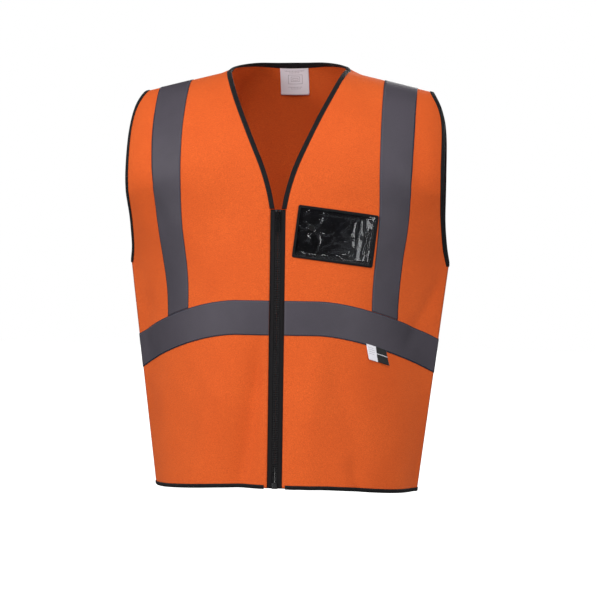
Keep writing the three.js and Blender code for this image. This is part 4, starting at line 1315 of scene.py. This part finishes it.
def seam_line(side, sign, u, s, off):
    """Points and normals of a line on the cloth, for sewing."""
    normals = outward(side, sign, u, s) * np.array([sign, 1, 1])
    return lay(side, sign, u, s, off), normals


# %% Where the thread runs
# How far each row of stitches lies in from its binding's inner edge, and above the hem's.
ZIP_STITCH, ZIP_STITCH_FOOT = 13.6, -609
NECK_SEAM, ARM_SEAM, HEM_SEAM, ABOVE_HEM = 1.1, 0.9, 1.0, 2.6
zip_s = np.linspace(-NECK_FOOT / SHOULDER_ROUND, -ZIP_STITCH_FOOT / SHOULDER_ROUND, 160)
zip_line = (find_u(-1, on_row, zip_s, upright(ZIP_STITCH)), zip_s)
neck_line = along_rows(-1, NECK_LINE, neck_s)(NECK_WIDTH - NECK_SEAM)
arm_lines = {side: along_rows(side, ARM_LINE, arm_s)(ARM_WIDTH - ARM_SEAM) for side in (-1, 1)}
hem_front_line = hem_spots(-1, front_hem_u)(HEM_WIDTH - HEM_SEAM)
hem_above_line = hem_spots(-1, front_hem_u)(HEM_WIDTH + ABOVE_HEM)
hem_back_line = hem_spots(1, back_hem_u)(HEM_WIDTH - HEM_SEAM)
ON_BINDING = CLOTH + GRIP + LEAF
for name, sign in SIDES:
    body = f"{name}_front"
    lines = [seam_line(-1, sign, *line, CLOTH) for line in (zip_line, hem_above_line)]
    sew(f"front_edge_stitches_{name}", lines, body, orange_thread)
    lines = [seam_line(-1, sign, *line, ON_BINDING) for line in (neck_line, arm_lines[-1])]
    sew(f"opening_stitches_{name}", lines, body, black_thread, bends=True)
    lines = [seam_line(-1, sign, *hem_front_line, ON_BINDING)]
    sew(f"hem_stitches_{name}", lines, body, black_thread)
sewn_u, sewn_s = nape_spot(np.linspace(0, math.pi / 2, 60), NECK_WIDTH - NECK_SEAM)
back_lines = (arm_lines[1], hem_back_line, (sewn_u, np.maximum(sewn_s, 0)))
lines = [seam_line(1, sign, *line, ON_BINDING) for _, sign in SIDES for line in back_lines]
sew("back_binding_stitches", lines, "back", black_thread)

# %% Thread on the reflective tape
TAPE_STITCH = 0.05


def sew_band(name, side, sign, grid, body, bends=False):
    """Two rows of stitches on a band, each the same share of its width in from an edge."""
    lines = []
    for share_across in (TAPE_STITCH, 1 - TAPE_STITCH):
        u, s = (v[:, 0] + (v[:, -1] - v[:, 0]) * share_across for v in grid)
        lines.append(seam_line(side, sign, u, s, TAPE_OUT))
    sew(name, lines, body, grey_thread, bends)


for name, sign in SIDES:
    body = f"{name}_front"
    sew_band(f"shoulder_band_stitches_{name}_front", -1, sign, bands[-1], body, bends=True)
    sew_band(f"shoulder_band_stitches_{name}_back", 1, sign, bands[1], "back")
    sew_band(f"waist_band_stitches_{name}", -1, sign, waist_front, body)
    sew_band(f"waist_band_stitches_{name}_back", 1, sign, waist_back, "back")
print("stitches sewn")

# %% [markdown]
# ## Parts that keep their CAD shape
# Slider, pull, stops, pins, box and stud are hard and already have their true shape. They
# only need a finish, which goes into their material slots. Their meshes aren't touched.

# %% Finishes for the hard parts
HARD = {
    "zip_slider": slider_paint, "zip_pull": slider_paint, "top_stop_left": bright_metal,
    "top_stop_right": bright_metal, "retaining_box": bright_metal, "retaining_pin": pin_paint,
    "insertion_pin": pin_paint, "stud_cap": stud_plastic, "stud_base": stud_plastic,
}
for node, finish in HARD.items():
    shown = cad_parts[node]
    shown.data.materials.clear()
    shown.data.materials.append(finish)
print(len(HARD), "CAD parts keep their shape")

# %% [markdown]
# ## What was cut from flat cloth
# Each sheet says how large it was before it was sewn.

# %% Flat sizes, in metres
for piece, flat, held in cut_sheets:
    print(piece.name, [round(side * 1000) for side in flat], "mm flat")

# %% [markdown]
# ## Camera and light
# The vest is seen from just right of its middle, a little above its own centre, with a long
# lens. Large soft lamps give the cloth its gentle shading. The floor is pale and far enough
# below for the vest to hang clear of it.

# %% Camera
CAMERA_TURN, CAMERA_ROLL = math.radians(6.2), math.radians(0.8)
CAMERA_AWAY, CAMERA_Z = 2.7, -0.2716
AIM_Z, AIM_RIGHT, LENS = -0.3422, 0.0201, 107.85
camera = bpy.data.objects.new("camera", bpy.data.cameras.new("camera"))
bpy.context.scene.collection.objects.link(camera)
camera.data.lens, camera.data.sensor_width = LENS, 36
right = np.array([math.cos(CAMERA_TURN), math.sin(CAMERA_TURN), 0])
away = np.array([math.sin(CAMERA_TURN), -math.cos(CAMERA_TURN), 0])
stands = Vector(away * CAMERA_AWAY + np.array([0, 0, CAMERA_Z]))
aims = Vector(right * AIM_RIGHT + np.array([0, 0, AIM_Z]))
camera.location = stands
camera.rotation_mode = "QUATERNION"
level = (aims - stands).to_track_quat("-Z", "Y")
camera.rotation_quaternion = level @ Quaternion((0, 0, 1), CAMERA_ROLL)
bpy.context.scene.camera = camera
bpy.context.scene.view_settings.view_transform = "Standard"


# %% Lamps, sky and floor
def lamp(name, place, aim, size, power):
    """A round soft lamp at one place, turned to face another."""
    data = bpy.data.lights.new(name, "AREA")
    data.shape, data.size, data.energy = "DISK", size, power
    light = bpy.data.objects.new(name, data)
    bpy.context.scene.collection.objects.link(light)
    light.location = place
    light.rotation_mode = "QUATERNION"
    light.rotation_quaternion = (Vector(aim) - Vector(place)).to_track_quat("-Z", "Y")


lamp("key", (-1.8, -1.7, 0.2), (0, 0, -0.35), 0.9, 32)
lamp("fill", (1.9, -1.7, -0.3), (0, 0, -0.35), 1.1, 19)
lamp("top", (0.1, -1.5, 1.4), (0, 0, -0.15), 0.9, 20)
lamp("behind", (0.6, 2.2, 0.8), (0, 0, -0.3), 1.4, 34)
world = bpy.data.worlds.new("studio")
bpy.context.scene.world = world
world.use_nodes = True
sky = world.node_tree.nodes["Background"]
sky.inputs["Color"].default_value = (1, 1, 1, 1)
# The sky looks white, lights the cloth softly, and is nearly dark in mirror-like gloss.
SEEN, ON_CLOTH, IN_GLOSS = 1.0, 0.35, 0.02
path = world.node_tree.nodes.new("ShaderNodeLightPath")
total = IN_GLOSS
for ray, strength in (("Is Camera Ray", SEEN), ("Is Diffuse Ray", ON_CLOTH)):
    step = world.node_tree.nodes.new("ShaderNodeMath")
    step.operation = "MULTIPLY_ADD"
    world.node_tree.links.new(path.outputs[ray], step.inputs[0])
    step.inputs[1].default_value = strength - IN_GLOSS
    if isinstance(total, float):
        step.inputs[2].default_value = total
    else:
        world.node_tree.links.new(total, step.inputs[2])
    total = step.outputs[0]
world.node_tree.links.new(total, sky.inputs["Strength"])

FLOOR_Z, FLOOR_HALF = -1.05, 12
floor_mesh = bpy.data.meshes.new("floor")
square = [(-1, -1), (1, -1), (1, 1), (-1, 1)]
corners = [(x * FLOOR_HALF, y * FLOOR_HALF, FLOOR_Z) for x, y in square]
floor_mesh.from_pydata(corners, [], [(0, 1, 2, 3)])
floor = bpy.data.objects.new("floor", floor_mesh)
bpy.context.scene.collection.objects.link(floor)
pale = Finish("pale_floor", Roughness=0.9, Emission_Strength=1.0, Emission_Color=(1, 1, 1, 1))
floor.data.materials.append(pale.colour((0.9, 0.9, 0.9, 1)))
floor.visible_diffuse = floor.visible_glossy = False
